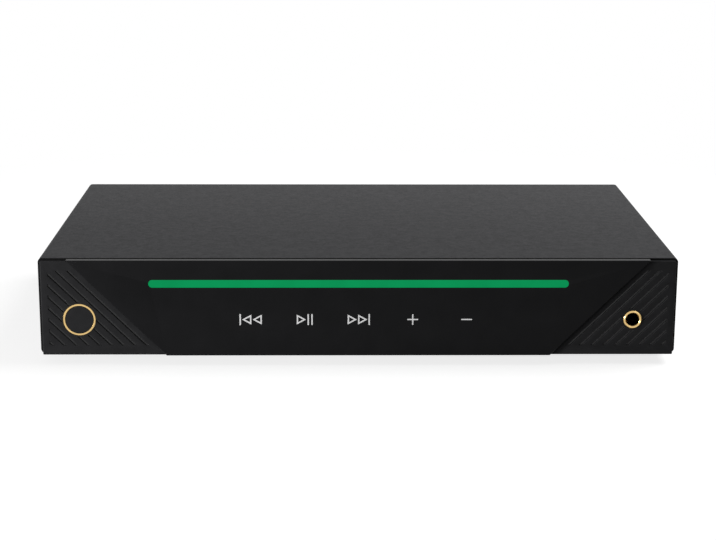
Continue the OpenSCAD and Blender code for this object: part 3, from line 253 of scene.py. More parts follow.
def front_plane(y):
    """A placer that sets outline points x, z on the plane at y, lifted towards the viewer."""
    def place(points, lift):
        return np.stack([points[..., 0], y - lift + 0 * points[..., 0], points[..., 1]], -1)
    return place


def printed_band(outer, inner, lift, place):
    """A flat band between two closed outlines of as many points: a rectangle carried round them."""
    section = [place(outer, 0), place(outer, lift), place(inner, lift), place(inner, 0)]
    return shell(np.stack(section, 1), loop_rows=True, loop_columns=True)


def printed_plate(outline, lift, place):
    """A flat plate of a closed outline, raised off its face by lift."""
    return shell(np.stack([place(outline, 0), place(outline, lift)]), loop_columns=True, caps=True)


def turned(profile, axis_x, axis_z, steps):
    """A profile of (radius, y) points turned round the Y line through axis_x, axis_z."""
    angle = np.linspace(0, 2 * np.pi, steps, endpoint=False)[:, None]
    radius, y = profile[None, :, 0], profile[None, :, 1]
    points = [axis_x + radius * np.cos(angle), y + 0 * angle, axis_z + radius * np.sin(angle)]
    return shell(np.stack(points, -1), loop_rows=True, loop_columns=True)


# Finishes

def shade(tint, factor):
    """A colour made lighter or darker, with its alpha."""
    return tuple(min(1.0, channel * factor) for channel in tint) + (1.0,)


def mapped(nodes, links, value, low, high, from_low=0.0, from_high=1.0):
    """A value carried from one range to another and held inside it."""
    node = nodes.new("ShaderNodeMapRange")
    ends = {"From Min": from_low, "From Max": from_high, "To Min": low, "To Max": high}
    for socket, end in ends.items():
        node.inputs[socket].default_value = end
    links.new(value, node.inputs["Value"])
    return node.outputs["Result"]


class Recipe:
    """A material's node tree, with one short call for each kind of node that the finishes share."""

    def __init__(self, name, settings):
        self.material = bpy.data.materials.new(name)
        self.material.use_nodes = True
        self.nodes = self.material.node_tree.nodes
        self.links = self.material.node_tree.links
        self.shader = self.nodes["Principled BSDF"]
        self.place = self.nodes.new("ShaderNodeTexCoord").outputs["Object"]
        for socket, value in settings.items():
            self.shader.inputs[socket].default_value = value

    def stretched(self, scale):
        """Object coordinates scaled by axis, so that a pattern can run along one of them."""
        node = self.nodes.new("ShaderNodeMapping")
        node.inputs["Scale"].default_value = scale
        self.links.new(self.place, node.inputs["Vector"])
        return node.outputs["Vector"]

    def noise(self, size, detail=2.0, place=None):
        """Soft noise whose blobs are about size across."""
        node = self.nodes.new("ShaderNodeTexNoise")
        node.inputs["Scale"].default_value = 1 / size
        node.inputs["Detail"].default_value = detail
        self.links.new(place or self.place, node.inputs["Vector"])
        return node.outputs["Fac"]

    def cells(self, size, place=None):
        """Distance to the edges of irregular cells of about that size."""
        node = self.nodes.new("ShaderNodeTexVoronoi")
        node.feature = "DISTANCE_TO_EDGE"
        node.inputs["Scale"].default_value = 1 / size
        self.links.new(place or self.place, node.inputs["Vector"])
        return node.outputs["Distance"]

    def offset(self, axis, middle):
        """Distance from the middle along one of the object's axes."""
        parts = self.nodes.new("ShaderNodeSeparateXYZ")
        self.links.new(self.place, parts.inputs["Vector"])
        value = parts.outputs[axis]
        for operation in ("SUBTRACT", "ABSOLUTE"):
            node = self.nodes.new("ShaderNodeMath")
            node.operation = operation
            node.inputs[1].default_value = middle
            self.links.new(value, node.inputs[0])
            value = node.outputs["Value"]
        return value

    def span(self, value, from_low, from_high, low, high):
        """A value of one range carried to another, as this material's own node."""
        return mapped(self.nodes, self.links, value, low, high, from_low, from_high)

    def blend(self, factor, low, high, socket="Base Color"):
        """Colours the shader between two colours by a factor."""
        node = self.nodes.new("ShaderNodeMix")
        node.data_type = "RGBA"
        self.links.new(factor, node.inputs["Factor"])
        for end, paint in ((MIX_LOW, low), (MIX_HIGH, high)):
            if isinstance(paint, tuple):
                node.inputs[end].default_value = paint
            else:
                self.links.new(paint, node.inputs[end])
        self.links.new(node.outputs[MIX_RESULT], self.shader.inputs[socket])
        return node.outputs[MIX_RESULT]

    def tint(self, value, tone, spread, socket="Base Color"):
        """Colours the shader by noise: the tone, darker and lighter by spread."""
        factor = self.span(value, *NOISE_BAND, 0, 1)
        return self.blend(factor, shade(tone, 1 - spread), shade(tone, 1 + spread), socket)

    def gloss(self, value, low, high):
        """Roughness between two values by noise."""
        self.links.new(self.span(value, *NOISE_BAND, low, high), self.shader.inputs["Roughness"])

    def relief(self, value, depth, strength=1.0, below=None):
        """Bump of that depth, on top of another bump if one is given."""
        node = self.nodes.new("ShaderNodeBump")
        node.inputs["Strength"].default_value = strength
        node.inputs["Distance"].default_value = depth
        self.links.new(value, node.inputs["Height"])
        if below:
            self.links.new(below, node.inputs["Normal"])
        self.links.new(node.outputs["Normal"], self.shader.inputs["Normal"])
        return node.outputs["Normal"]


def powder_coat(name, tone):
    """Sand-textured powder coat: fine grains over mottling, with painted shade on the sheet's cut edges, darkened
    to near black.
    """
    recipe = Recipe(name, {"Specular IOR Level": 0.06})
    grain = recipe.noise(0.9 * MM, detail=3)
    mottle = recipe.noise(3.2 * MM, detail=3)
    coat = recipe.tint(mottle, tone, spread=0.15)
    low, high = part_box("top_cover")
    half = (high.y - low.y) / 2
    # Painted shade: near the front and rear cut edges the coat's colour is darkened to near black, standing in for
    # the shadow there.
    shade_start, shade_full = half - 0.4 * MM, half - 0.15 * MM
    edge = recipe.span(recipe.offset("Y", low.y + half), shade_start, shade_full, 0, 1)
    painted_edge_shade = shade(tone, 0.12)
    recipe.blend(edge, coat, painted_edge_shade)
    recipe.gloss(grain, low=0.6, high=0.8)
    waves = recipe.relief(mottle, depth=0.12 * MM, strength=0.6)
    recipe.relief(grain, depth=0.12 * MM, strength=0.7, below=waves)
    return recipe.material


def satin_paint(name, tone):
    """Smooth satin paint with faint orange peel."""
    recipe = Recipe(name, {"Specular IOR Level": 0.35})
    peel = recipe.noise(1.8 * MM, detail=2)
    recipe.tint(recipe.noise(9 * MM, detail=3), tone, spread=0.1)
    recipe.gloss(peel, low=0.4, high=0.52)
    recipe.relief(peel, depth=0.02 * MM, strength=0.5)
    return recipe.material


def black_oxide(name, tone):
    """Blackened screw steel, rubbed brighter in places."""
    recipe = Recipe(name, {"Metallic": 0.7})
    rub = recipe.noise(0.9 * MM, detail=4)
    recipe.tint(rub, tone, spread=0.4)
    recipe.gloss(rub, low=0.3, high=0.5)
    recipe.relief(rub, depth=0.01 * MM)
    return recipe.material


def moulded_rubber(name, tone):
    """Matt rubber with a fine grain and a dusty bloom."""
    recipe = Recipe(name, {"Specular IOR Level": 0.25, "Sheen Weight": 0.15, "Sheen Roughness": 0.6})
    grain = recipe.noise(0.25 * MM, detail=3)
    recipe.tint(recipe.noise(3 * MM, detail=3), tone, spread=0.25)
    recipe.gloss(grain, low=0.7, high=0.9)
    recipe.relief(grain, depth=0.03 * MM, strength=0.7)
    return recipe.material


def plated_metal(name, tone, low, high):
    """Plated metal: slow stains in the colour and fine wear in the gloss."""
    recipe = Recipe(name, {"Metallic": 1.0})
    wear = recipe.noise(0.35 * MM, detail=4)
    recipe.tint(recipe.noise(4 * MM, detail=3), tone, spread=0.07)
    recipe.gloss(wear, low, high)
    recipe.relief(wear, depth=0.004 * MM, strength=0.6)
    return recipe.material


def gold_plate(name, tone):
    """Polished gold plate."""
    return plated_metal(name, tone, low=0.12, high=0.24)


def satin_metal(name, tone):
    """Satin nickel, zinc, brass or aluminium."""
    return plated_metal(name, tone, low=0.26, high=0.42)


def polished_acrylic(name, tone):
    """Deep black polished panel with the faintest haze, kept low in reflection."""
    recipe = Recipe(name, {"Specular IOR Level": 0.05, "IOR": 1.49})
    haze = recipe.noise(14 * MM, detail=4)
    recipe.tint(haze, tone, spread=0.12)
    recipe.gloss(recipe.noise(1.2 * MM, detail=4), low=0.12, high=0.2)
    return recipe.material


def lit_diffuser(name, tone):
    """A dark diffuser lit from behind: even light that varies a little from lamp to lamp."""
    recipe = Recipe(name, {"Roughness": 0.35, "Specular IOR Level": 0.02, "Emission Strength": 0.87})
    cloud = recipe.noise(12 * MM, detail=2)
    unlit = 0.1
    recipe.tint(cloud, tuple(unlit * channel for channel in tone), spread=0.05)
    recipe.tint(cloud, tone, spread=0.05, socket="Emission Color")
    return recipe.material


def grained_moulding(name, tone):
    """Moulded plastic with the fine spark-eroded grain of its tool."""
    recipe = Recipe(name, {"Specular IOR Level": 0.03})
    grain = recipe.noise(0.3 * MM, detail=3)
    recipe.tint(recipe.noise(5 * MM, detail=3), tone, spread=0.1)
    recipe.gloss(grain, low=0.42, high=0.58)
    recipe.relief(grain, depth=0.02 * MM, strength=0.6)
    return recipe.material


def smooth_groove(name, tone):
    """Moulded plastic from a polished part of the tool: smoother and glossier than the grain beside it."""
    recipe = Recipe(name, {"Specular IOR Level": 0.3})
    flow = recipe.noise(1.5 * MM, detail=2)
    recipe.tint(flow, tone, spread=0.1)
    recipe.gloss(flow, low=0.2, high=0.3)
    return recipe.material


def gloss_moulding(name, tone):
    """Polished moulded plastic with slight flow marks."""
    recipe = Recipe(name, {"Specular IOR Level": 0.4})
    flow = recipe.noise(2 * MM, detail=2, place=recipe.stretched((1, 1, 0.25)))
    recipe.tint(flow, tone, spread=0.08)
    recipe.gloss(flow, low=0.16, high=0.3)
    recipe.relief(flow, depth=0.01 * MM, strength=0.4)
    return recipe.material


def matt_plastic(name, tone):
    """Plain matt plastic, nylon, epoxy or ferrite."""
    recipe = Recipe(name, {"Specular IOR Level": 0.3})
    grain = recipe.noise(0.2 * MM, detail=3)
    recipe.tint(recipe.noise(1.5 * MM, detail=3), tone, spread=0.12)
    recipe.gloss(grain, low=0.5, high=0.7)
    recipe.relief(grain, depth=0.015 * MM, strength=0.6)
    return recipe.material


def wire_insulation(name, tone):
    """Soft wire insulation with a faint drawn grain."""
    recipe = Recipe(name, {"Specular IOR Level": 0.35})
    drawn = recipe.noise(0.6 * MM, detail=3)
    recipe.tint(drawn, tone, spread=0.12)
    recipe.gloss(drawn, low=0.35, high=0.5)
    recipe.relief(drawn, depth=0.01 * MM, strength=0.5)
    return recipe.material


def solder_mask(name, tone):
    """A circuit board: copper tracks show as paler lines under the coloured mask."""
    recipe = Recipe(name, {"Specular IOR Level": 0.45})
    tracks = recipe.cells(4.5 * MM, recipe.stretched((1, 1.6, 0.05)))
    track_half, track_edge = 0.04, 0.09
    copper = recipe.span(tracks, track_half, track_edge, 1, 0)
    mask, over_copper = shade(tone, 0.85), shade(tone, 1.9)
    recipe.blend(copper, mask, over_copper)
    recipe.gloss(recipe.noise(1.5 * MM, detail=2), low=0.25, high=0.4)
    recipe.relief(copper, depth=0.03 * MM, strength=0.5)
    return recipe.material


FINISH_OF = {
    "cover_paint": powder_coat, "chassis_paint": satin_paint, "screw_black": black_oxide,
    "foot_rubber": moulded_rubber, "pad_foam": moulded_rubber, "screw_steel": satin_metal,
    "touch_gloss": polished_acrylic, "light_green": lit_diffuser, "corner_plastic": grained_moulding,
    "carrier_plastic": matt_plastic, "gold_plate": gold_plate, "contact_gold": gold_plate,
    "board_green": solder_mask, "module_blue": solder_mask, "led_resin": gloss_moulding,
    "socket_black": matt_plastic, "rocker_black": gloss_moulding, "shutter_black": matt_plastic,
    "button_black": matt_plastic, "antenna_film": gloss_moulding, "nickel": satin_metal,
    "lamp_clear": gloss_moulding, "tongue_white": matt_plastic, "ring_black": gloss_moulding,
    "ring_white": gloss_moulding, "ring_red": gloss_moulding, "chip_black": matt_plastic,
    "pillar_brass": satin_metal, "plug_ivory": matt_plastic, "ferrite": matt_plastic,
    "capacitor_sleeve": gloss_moulding, "sink_aluminium": satin_metal, "mains_brown": wire_insulation,
    "dc_red": wire_insulation, "phones_grey": wire_insulation, "ribbon_white": matt_plastic,
    "lead_black": wire_insulation,
}


def finish(slot):
    """The material of a slot, made by its finish the first time that it is asked for."""
    name = slot + "_finish"
    colours = bpy.context.scene.streamer_colours
    chosen = {
        "cover_paint": colours.cover, "touch_gloss": colours.touch, "corner_plastic": colours.moulding,
        "light_green": colours.light, "gold_plate": colours.gold,
    }
    tone = tuple(chosen.get(slot, COLOUR_OF[slot]))
    return bpy.data.materials.get(name) or FINISH_OF[slot](name, tone)


def print_with_painted_glow(name, tone):
    """White print with a painted glow: a little emission brightens it beyond what the lamps give."""
    recipe = Recipe(name, {"Roughness": 0.6, "Emission Strength": 0.6})
    cover = recipe.noise(0.4 * MM, detail=3)
    recipe.tint(cover, tone, spread=0.06)
    # Painted glow: this emission makes the marks brighter than their lighting would.
    recipe.tint(cover, tone, spread=0.06, socket="Emission Color")
    return recipe.material


# Pieces

class STREAMER_OT_finishes(bpy.types.Operator):
    """Give every piece of the frame the finish of its slot"""

    bl_idname = "streamer.finishes"
    bl_label = "Finishes"

    def execute(self, context):
        for node, piece in frame["nodes"].items():
            piece.data.materials.clear()
            piece.data.materials.append(finish(SLOT_OF[node]))
            piece.data.shade_smooth()
            piece.data.set_sharp_from_angle(angle=FRAME_SHARP)
        return {"FINISHED"}


class STREAMER_OT_cover(bpy.types.Operator):
    """Fold the cover from sheet: its rounded section is carried along the folded line"""

    bl_idname = "streamer.cover"
    bl_label = "Cover"

    def execute(self, context):
        sizes = context.scene.streamer_sizes
        low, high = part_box("top_cover")
        half = sizes.sheet / 2
        left, right = low.x + half, high.x - half
        bottom, top = low.z + half, high.z - half
        lip = sizes.lip_width - half
        corners = [
            (left + lip, bottom), (left, bottom), (left, top),
            (right, top), (right, bottom), (right - lip, bottom),
        ]
        line = rounded_path(corners, sizes.bend_radius - half, steps=10, closed=False)
        normal = side_normals(line)
        depth = high.y - low.y
        section = rounded_path(rectangle(depth, sizes.sheet), sizes.edge_radius, steps=5, closed=True)
        across = line[:, None] + normal[:, None] * section[None, :, 1:]
        along = (low.y + high.y) / 2 + section[None, :, :1] + 0 * across[..., :1]
        points = np.concatenate([across[..., :1], along, across[..., 1:]], -1)
        mesh = mesh_of("cover_shell", [shell(points, loop_columns=True, caps=True)])
        piece = add_piece("cover_shell", mesh, finish("cover_paint"), BODY_OF["top_cover"])
        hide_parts("top_cover")
        return {"FINISHED"}


# How far each of these pieces' edges is rounded
SOFT_EDGES = {
    "touch_panel": 0.12 * MM, "left_corner_panel": 0.18 * MM, "right_corner_panel": 0.18 * MM,
    "rear_panel": 0.15 * MM, "mains_inlet": 0.3 * MM, "switch_frame": 0.3 * MM,
    "power_rocker": 0.35 * MM, "lan_socket": 0.2 * MM, "usb_socket": 0.12 * MM,
    "optical_socket": 0.25 * MM, "optical_shutter": 0.12 * MM,
}
GROOVED_PANELS = ("left_corner_panel", "right_corner_panel")


def soft_copy(node, width):
    """A copy of a node's mesh whose sharp edges are rounded, as paint and moulding round them."""
    work = bmesh.new()
    work.from_mesh(frame["nodes"][node].data)
    bmesh.ops.remove_doubles(work, verts=work.verts, dist=MERGE_REACH)
    bmesh.ops.dissolve_limit(work, angle_limit=FLAT_ANGLE, verts=work.verts, edges=work.edges)
    sharp = [edge for edge in work.edges if edge.is_manifold and edge.calc_face_angle() > ROUNDED_ANGLE]
    bmesh.ops.bevel(
        work, geom=sharp, affect="EDGES", offset_type="OFFSET", offset=width, segments=2, profile=0.5,
        clamp_overlap=True)
    mesh = bpy.data.meshes.new(node + "_soft")
    work.to_mesh(mesh)
    work.free()
    mesh.shade_smooth()
    mesh.set_sharp_from_angle(angle=FRAME_SHARP)
    piece = add_piece(node + "_soft", mesh, finish(SLOT_OF[node]), BODY_OF[node])
    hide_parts(node)
    return piece


def face_values(mesh, name):
    """The x, y and z of one property of all the faces."""
    values = np.empty(3 * len(mesh.polygons))
    mesh.polygons.foreach_get(name, values)
    return values.reshape(-1, 3).T


def second_finish(mesh, chosen, material):
    """Gives the chosen faces of a mesh their own material."""
    mesh.materials.append(material)
    mesh.polygons.foreach_set("material_index", chosen.astype(np.int32))


def groove_faces(node, mesh):
    """Faces inside a corner panel's border whose centres lie behind its front, at most a groove deep."""
    sizes = bpy.context.scene.streamer_sizes
    low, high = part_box(node)
    slack = 0.02 * MM
    margin = sizes.groove_margin
    x, y, z = face_values(mesh, "center")
    depth = y - low.y
    sunk = (depth > slack) & (depth < sizes.groove_depth + slack)
    side = max(abs(low.x), abs(high.x)) - margin
    return sunk & (abs(x) < side) & (z > low.z + margin) & (z < high.z - margin)


def end_faces(mesh):
    """Faces that look well to one side, such as the touch panel's two sloping ends."""
    sideways = 0.5
    return abs(face_values(mesh, "normal")[0]) > sideways


class STREAMER_OT_soft_edges(bpy.types.Operator):
    """Round the edges of panels and sockets, and finish the grooves and the touch panel's ends"""

    bl_idname = "streamer.soft_edges"
    bl_label = "Soft edges"

    def execute(self, context):
        colours = context.scene.streamer_colours
        groove = smooth_groove("corner_groove_finish", tuple(colours.moulding))
        matt_end = grained_moulding("touch_end_finish", tuple(colours.touch))
        for node, width in SOFT_EDGES.items():
            mesh = soft_copy(node, width).data
            if node in GROOVED_PANELS:
                second_finish(mesh, groove_faces(node, mesh), groove)
            if node == "touch_panel":
                second_finish(mesh, end_faces(mesh), matt_end)
        return {"FINISHED"}


def plus_outline(size, stroke):
    """Outline of a plus: one arm's three corners, turned to the four sides."""
    arm = np.array([(stroke, -stroke), (size, -stroke), (size, stroke)]) / 2
    quarter = np.array([[0, 1], [-1, 0]])
    turns = [np.linalg.matrix_power(quarter, k) for k in range(4)]
    return np.concatenate([arm @ turn for turn in turns])


class STREAMER_OT_touch_marks(bpy.types.Operator):
    """Print the touch marks: skip back, play and pause, skip on, plus and minus"""

    bl_idname = "streamer.touch_marks"
    bl_label = "Touch marks"

    def execute(self, context):
        sizes = context.scene.streamer_sizes
        pads_low, pads_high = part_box("touch_pads")
        pad = pads_high.z - pads_low.z
        count = 5
        pitch = (pads_high.x - pads_low.x - pad) / (count - 1)
        middle = np.array([(pads_low.x + pads_high.x) / 2, (pads_low.z + pads_high.z) / 2])
        place = front_plane(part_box("touch_panel")[0].y)
        material = print_with_painted_glow("touch_print_glow", tuple(context.scene.streamer_colours.mark))
        stroke, lift, tall = sizes.mark_stroke, sizes.print_lift, sizes.mark_height
        wide = 4.5 * MM
        gap = 0.55 * MM
        tip_radius, hole_radius, bar_radius = 0.12 * MM, 0.03 * MM, 0.15 * MM

        def triangle(x, point, at):
            """A hollow triangle from x, pointing right for 1 and left for -1.

            Its inner outline is the outer one drawn in towards the centre of its inscribed circle.
            """
            flat, tip = (x, x + wide) if point > 0 else (x + wide, x)
            corners = np.array([(flat, -tall / 2), (tip, 0), (flat, tall / 2)])[::point]
            sides = np.linalg.norm(np.roll(corners, -1, 0) - np.roll(corners, 1, 0), axis=1)
            centre = sides @ corners / sides.sum()
            inradius = wide * tall / sides.sum()
            inner = centre + (corners - centre) * (1 - stroke / inradius)
            outside = rounded_path(corners, tip_radius, steps=4, closed=True) + at
            hole = rounded_path(inner, hole_radius, steps=4, closed=True) + at
            return printed_band(outside, hole, lift, place)

        def bar(x, width, height, at):
            """An upright bar whose left edge is at x."""
            outline = rounded_path(rectangle(width, height), bar_radius, steps=3, closed=True)
            return printed_plate(outline + np.array([x + width / 2, 0]) + at, lift, place)

        bar_tall = 5.5 * MM
        skip = 2 * wide + 2 * gap + stroke
        pause_step = 1.85 * MM
        pause_gap = 1.3 * gap
        pause = wide + pause_gap + pause_step + stroke
        thin = 0.62 * MM
        cross = 5.25 * MM
        spots = [middle + np.array([(i - count // 2) * pitch, 0]) for i in range(count)]
        marks = {
            "skip_back_mark": [
                bar(-skip / 2, stroke, bar_tall, spots[0]),
                triangle(-skip / 2 + stroke + gap, -1, spots[0]),
                triangle(skip / 2 - wide, -1, spots[0])],
            "play_pause_mark": [
                triangle(-pause / 2, 1, spots[1]),
                bar(pause / 2 - stroke - pause_step, stroke, bar_tall, spots[1]),
                bar(pause / 2 - stroke, stroke, bar_tall, spots[1])],
            "skip_on_mark": [
                triangle(-skip / 2, 1, spots[2]),
                triangle(-skip / 2 + wide + gap, 1, spots[2]),
                bar(skip / 2 - stroke, stroke, bar_tall, spots[2])],
            "plus_mark": [printed_plate(plus_outline(cross, thin) + spots[3], lift, place)],
            "minus_mark": [bar(-cross / 2, cross, thin, spots[4])],
        }
        for name, shells in marks.items():
            add_piece(name, mesh_of(name, shells), material, BODY_OF["touch_panel"])
        return {"FINISHED"}


class STREAMER_OT_rocker_marks(bpy.types.Operator):
    """Print the on and off marks on the rocker's hollow face"""

    bl_idname = "streamer.rocker_marks"
    bl_label = "Rocker marks"

    def execute(self, context):
        sizes = context.scene.streamer_sizes
        joint = JOINT_OF["power_rocker_tilt"]
        pivot = np.array(joint["pos_m"])
        tilt = math.radians(joint["range_deg"][1]) / 2
        turn = np.array([[math.cos(tilt), math.sin(tilt)], [-math.sin(tilt), math.cos(tilt)]])

        def place(points, lift):
            """Outline points x, z laid on the hollow face, a cylinder, and tilted with the rocker."""
            z = points[..., 1]
            y = sizes.rocker_dip + sizes.rocker_hollow - np.sqrt(sizes.rocker_hollow ** 2 - z ** 2) + lift
            tilted = np.stack([y, z], -1) @ turn
            return pivot + np.concatenate([points[..., :1], tilted], -1)

        pale_grey = (0.6, 0.6, 0.6)
        # The rocker's marks take the same painted glow.
        material = print_with_painted_glow("rocker_print_glow", pale_grey)
        lift = sizes.print_lift
        stroke, tall, up, end_radius = 0.45 * MM, 2.4 * MM, 3.6 * MM, 0.1 * MM
        on = rounded_path(rectangle(stroke, tall), end_radius, steps=3, closed=True) + np.array([0, up])
        circle_steps = 40
        angle = np.linspace(0, 2 * np.pi, circle_steps, endpoint=False)
        circle = np.stack([np.cos(angle), np.sin(angle)], -1)
        off = [circle * size / 2 - np.array([0, up]) for size in (tall, tall - 2 * stroke)]
        marks = {
            "rocker_on_mark": printed_plate(on, lift, place),
            "rocker_off_mark": printed_band(*off, lift, place),
        }
        for name, part in marks.items():
            add_piece(name, mesh_of(name, [part]), material, BODY_OF["power_rocker"])
        return {"FINISHED"}


class STREAMER_OT_contacts(bpy.types.Operator):
    """Make the sleeves in the phono sockets and the strips on the USB tongue"""

    bl_idname = "streamer.contacts"
    bl_label = "Contacts"

    def execute(self, context):
        material = finish("contact_gold")
        inner, outer, edge = 1.2 * MM, 1.55 * MM, 0.12 * MM
        sunk, reach = 0.5 * MM, 7.5 * MM
        for node in ("coax_insulator", "left_insulator", "right_insulator"):
            low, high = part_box(node)
            front, back = high.y - sunk, high.y - reach
            profile = np.array([
                (outer, back), (outer, front - edge), (outer - edge, front), (inner + edge, front),
                (inner, front - 3 * edge), (inner, back)])
            part = turned(profile, (low.x + high.x) / 2, (low.z + high.z) / 2, steps=40)
            name = node.replace("insulator", "contact")
            add_piece(name, mesh_of(name, [part]), material, BODY_OF[node])
        self.usb_strips(material)
        return {"FINISHED"}

    def usb_strips(self, material):
        """Four strips under the tongue; the outer two reach further forward, so that power meets first."""
        low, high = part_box("usb_tongue")
        width, thickness, end_radius = 1.0 * MM, 0.15 * MM, 0.3 * MM
        power = (3.5 * MM, 0.6 * MM)
        data = (1.0 * MM, 1.6 * MM)
        shells = []
        for side, (spread, short) in ((-1, power), (-1, data), (1, data), (1, power)):
            reach = high.y - low.y - short
            outline = rounded_path(rectangle(width, reach), end_radius, steps=4, closed=True)
            flat = outline + np.array([(low.x + high.x) / 2 + side * spread, low.y + reach / 2])
            lower = np.concatenate([flat, np.full((len(flat), 1), low.z - thickness)], -1)
            upper = np.concatenate([flat, np.full((len(flat), 1), low.z)], -1)
            shells.append(shell(np.stack([lower, upper]), loop_columns=True, caps=True))
        mesh = mesh_of("usb_contacts", shells)
        add_piece("usb_contacts", mesh, material, BODY_OF["usb_tongue"])


# Stage

def area_lamp(name, place, target, size, power, in_gloss=True):
    """A soft box at place that faces target, with a width and a height; gloss may mirror it or not."""
    lamp = bpy.data.lights.new(name, "AREA")
    lamp.shape = "RECTANGLE"
    lamp.size, lamp.size_y = size
    lamp.energy = power
    lamp_object = bpy.data.objects.new(name, lamp)
    lamp_object.visible_camera = False
    lamp_object.visible_glossy = in_gloss
    bpy.context.scene.collection.objects.link(lamp_object)
    turn = (Vector(target) - Vector(place)).to_track_quat("-Z", "Y")
    lamp_object.matrix_world = Matrix.Translation(place) @ turn.to_matrix().to_4x4()


def seen_ray(nodes, links):
    """1 for rays from the camera, from gloss and through glass, and 0 for those that light the object."""
    path = nodes.new("ShaderNodeLightPath")
    total = path.outputs["Is Camera Ray"]
    for output in ("Is Glossy Ray", "Is Transmission Ray"):
        add = nodes.new("ShaderNodeMath")
        add.use_clamp = True
        links.new(total, add.inputs[0])
        links.new(path.outputs[output], add.inputs[1])
        total = add.outputs[0]
    return total


def mixed(nodes, links, factor, first, second):
    """Two shaders mixed by a factor."""
    node = nodes.new("ShaderNodeMixShader")
    links.new(factor, node.inputs["Fac"])
    links.new(first, node.inputs[1])
    links.new(second, node.inputs[2])
    return node.outputs[0]


def white_light(nodes, links, seen, strength):
    """White emission that only shows to the rays that see it."""
    node = nodes.new("ShaderNodeEmission")
    links.new(mapped(nodes, links, seen, 0.0, strength), node.inputs["Strength"])
    return node.outputs["Emission"]


def make_world(ambient):
    """Even light from all round, which shows as white where it is seen."""
    world = bpy.data.worlds.new("studio")
    world.use_nodes = True
    nodes, links = world.node_tree.nodes, world.node_tree.links
    background = nodes["Background"]
    background.inputs["Color"].default_value = (1, 1, 1, 1)
    links.new(mapped(nodes, links, seen_ray(nodes, links), ambient, 1.0), background.inputs["Strength"])
    bpy.context.scene.world = world


def make_floor(glow):
    """A wide pale disc: radius and angle are its two parameters. From below it is clear.

    Near the object it is grey paint that takes the shadow, plus a glow; further out it is white light.
    """
    steps = 96
    rings = np.array([0.01, 0.5, 2.0, 9.0])
    grey = 0.45
    fade_start, fade_end = 0.22, 0.5
    angle = np.linspace(0, 2 * np.pi, steps, endpoint=False)[:, None]
    radius = rings[None]
    points = np.stack([radius * np.cos(angle), radius * np.sin(angle), 0 * radius * angle], -1)
    vertices, faces = shell(points, loop_rows=True)
    mesh = bpy.data.meshes.new("floor")
    hub = [i * len(rings) for i in range(steps)]
    mesh.from_pydata(vertices.tolist(), [], faces + [hub])
    floor = bpy.data.objects.new("floor", mesh)
    bpy.context.scene.collection.objects.link(floor)
    work = bmesh.new()
    work.from_mesh(mesh)
    bmesh.ops.recalc_face_normals(work, faces=work.faces)
    if sum(face.normal.z for face in work.faces) < 0:
        bmesh.ops.reverse_faces(work, faces=work.faces)
    work.to_mesh(mesh)
    work.free()
    material = bpy.data.materials.new("floor")
    material.use_nodes = True
    nodes, links = material.node_tree.nodes, material.node_tree.links
    nodes.remove(nodes["Principled BSDF"])
    seen = seen_ray(nodes, links)
    paint = nodes.new("ShaderNodeBsdfDiffuse")
    paint.inputs["Color"].default_value = (grey, grey, grey, 1)
    near = nodes.new("ShaderNodeAddShader")
    links.new(paint.outputs["BSDF"], near.inputs[0])
    links.new(white_light(nodes, links, seen, glow), near.inputs[1])
    far = white_light(nodes, links, seen, 1.0)
    place = nodes.new("ShaderNodeTexCoord")
    distance = nodes.new("ShaderNodeVectorMath")
    distance.operation = "LENGTH"
    links.new(place.outputs["Object"], distance.inputs[0])
    away = mapped(nodes, links, distance.outputs["Value"], 0.0, 1.0, fade_start, fade_end)
    open_floor = mixed(nodes, links, away, near.outputs[0], far)
    clear = nodes.new("ShaderNodeBsdfTransparent")
    side = nodes.new("ShaderNodeNewGeometry")
    both = mixed(nodes, links, side.outputs["Backfacing"], open_floor, clear.outputs["BSDF"])
    links.new(both, nodes["Material Output"].inputs["Surface"])
    mesh.materials.append(material)


def make_camera(stage):
    """The camera at the photograph's viewing angle: turned by yaw, pitched down, then rolled."""
    forward = Vector((
        math.sin(stage.yaw) * math.cos(stage.pitch), math.cos(stage.yaw) * math.cos(stage.pitch),
        -math.sin(stage.pitch)))
    right = Vector((math.cos(stage.yaw), -math.sin(stage.yaw), 0))
    up = right.cross(forward)
    rolled_right = right * math.cos(stage.roll) + up * math.sin(stage.roll)
    rolled_up = up * math.cos(stage.roll) - right * math.sin(stage.roll)
    turn = Matrix((rolled_right, rolled_up, -forward)).transposed()
    camera = bpy.data.cameras.new("camera")
    camera.lens = stage.lens
    camera.sensor_width = 36
    camera.clip_start = 0.05
    camera_object = bpy.data.objects.new("camera", camera)
    camera_object.matrix_world = Matrix.Translation(stage.camera_place) @ turn.to_4x4()
    bpy.context.scene.collection.objects.link(camera_object)
    bpy.context.scene.camera = camera_object


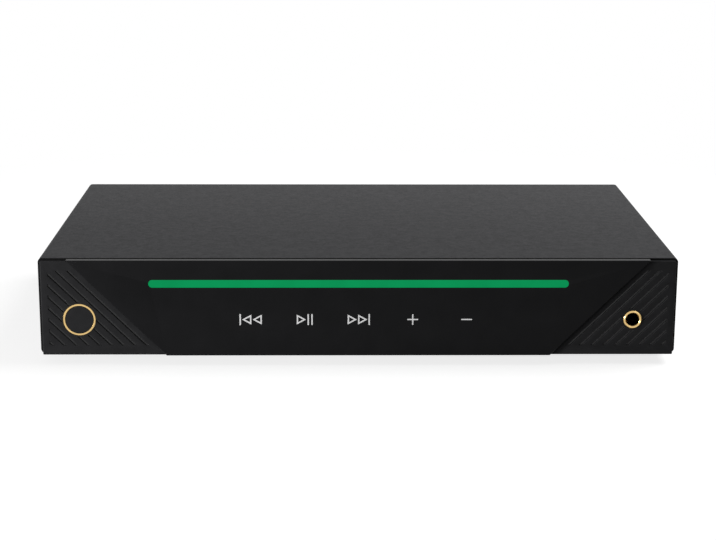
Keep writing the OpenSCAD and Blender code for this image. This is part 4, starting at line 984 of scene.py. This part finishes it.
class STREAMER_OT_stage(bpy.types.Operator):
    """Set the camera, the floor, the lamps and the view"""

    bl_idname = "streamer.stage"
    bl_label = "Stage"

    def execute(self, context):
        stage = context.scene.streamer_stage
        context.scene.view_settings.view_transform = "Standard"
        make_camera(stage)
        make_world(stage.ambient)
        make_floor(stage.floor_glow)
        middle = (0, 0, 0.03)
        front = (0, -0.09, 0.03)
        left_corner = (-0.12, -0.09, 0.01)
        area_lamp("top_box", place=(0.75, 0.2, 1.0), target=middle, size=(0.9, 0.7), power=10.5)
        area_lamp("side_box", place=(-2.0, -0.9, 0.18), target=front, size=(0.3, 0.3), power=40.0)
        area_lamp(
            "left_box", place=(-0.33, -0.36, 0.025), target=left_corner, size=(0.25, 0.04), power=1.15,
            in_gloss=False)
        return {"FINISHED"}


OPERATORS = (
    STREAMER_OT_stage, STREAMER_OT_finishes, STREAMER_OT_cover, STREAMER_OT_soft_edges,
    STREAMER_OT_touch_marks, STREAMER_OT_rocker_marks, STREAMER_OT_contacts,
)


class STREAMER_PT_panel(bpy.types.Panel):
    """The streamer's sizes, colours and steps"""

    bl_idname = "STREAMER_PT_panel"
    bl_label = "Network Music Streamer"
    bl_space_type = "VIEW_3D"
    bl_region_type = "UI"
    bl_category = "Streamer"

    def draw(self, context):
        scene = context.scene
        for group in (scene.streamer_sizes, scene.streamer_colours, scene.streamer_stage):
            box = self.layout.box()
            for name in group.bl_rna.properties.keys():
                if name not in ("name", "rna_type"):
                    box.prop(group, name)
        for operator in OPERATORS:
            self.layout.operator(operator.bl_idname)


CLASSES = (StreamerSizes, StreamerColours, StreamerStage, *OPERATORS, STREAMER_PT_panel)


def register():
    for cls in CLASSES:
        bpy.utils.register_class(cls)
    bpy.types.Scene.streamer_sizes = PointerProperty(type=StreamerSizes)
    bpy.types.Scene.streamer_colours = PointerProperty(type=StreamerColours)
    bpy.types.Scene.streamer_stage = PointerProperty(type=StreamerStage)


def unregister():
    del bpy.types.Scene.streamer_stage
    del bpy.types.Scene.streamer_colours
    del bpy.types.Scene.streamer_sizes
    for cls in reversed(CLASSES):
        bpy.utils.unregister_class(cls)


def main():
    register()
    bpy.ops.streamer.stage()
    bpy.ops.streamer.finishes()
    bpy.ops.streamer.cover()
    bpy.ops.streamer.soft_edges()
    bpy.ops.streamer.touch_marks()
    bpy.ops.streamer.rocker_marks()
    bpy.ops.streamer.contacts()


if __name__ == "__main__":
    main()
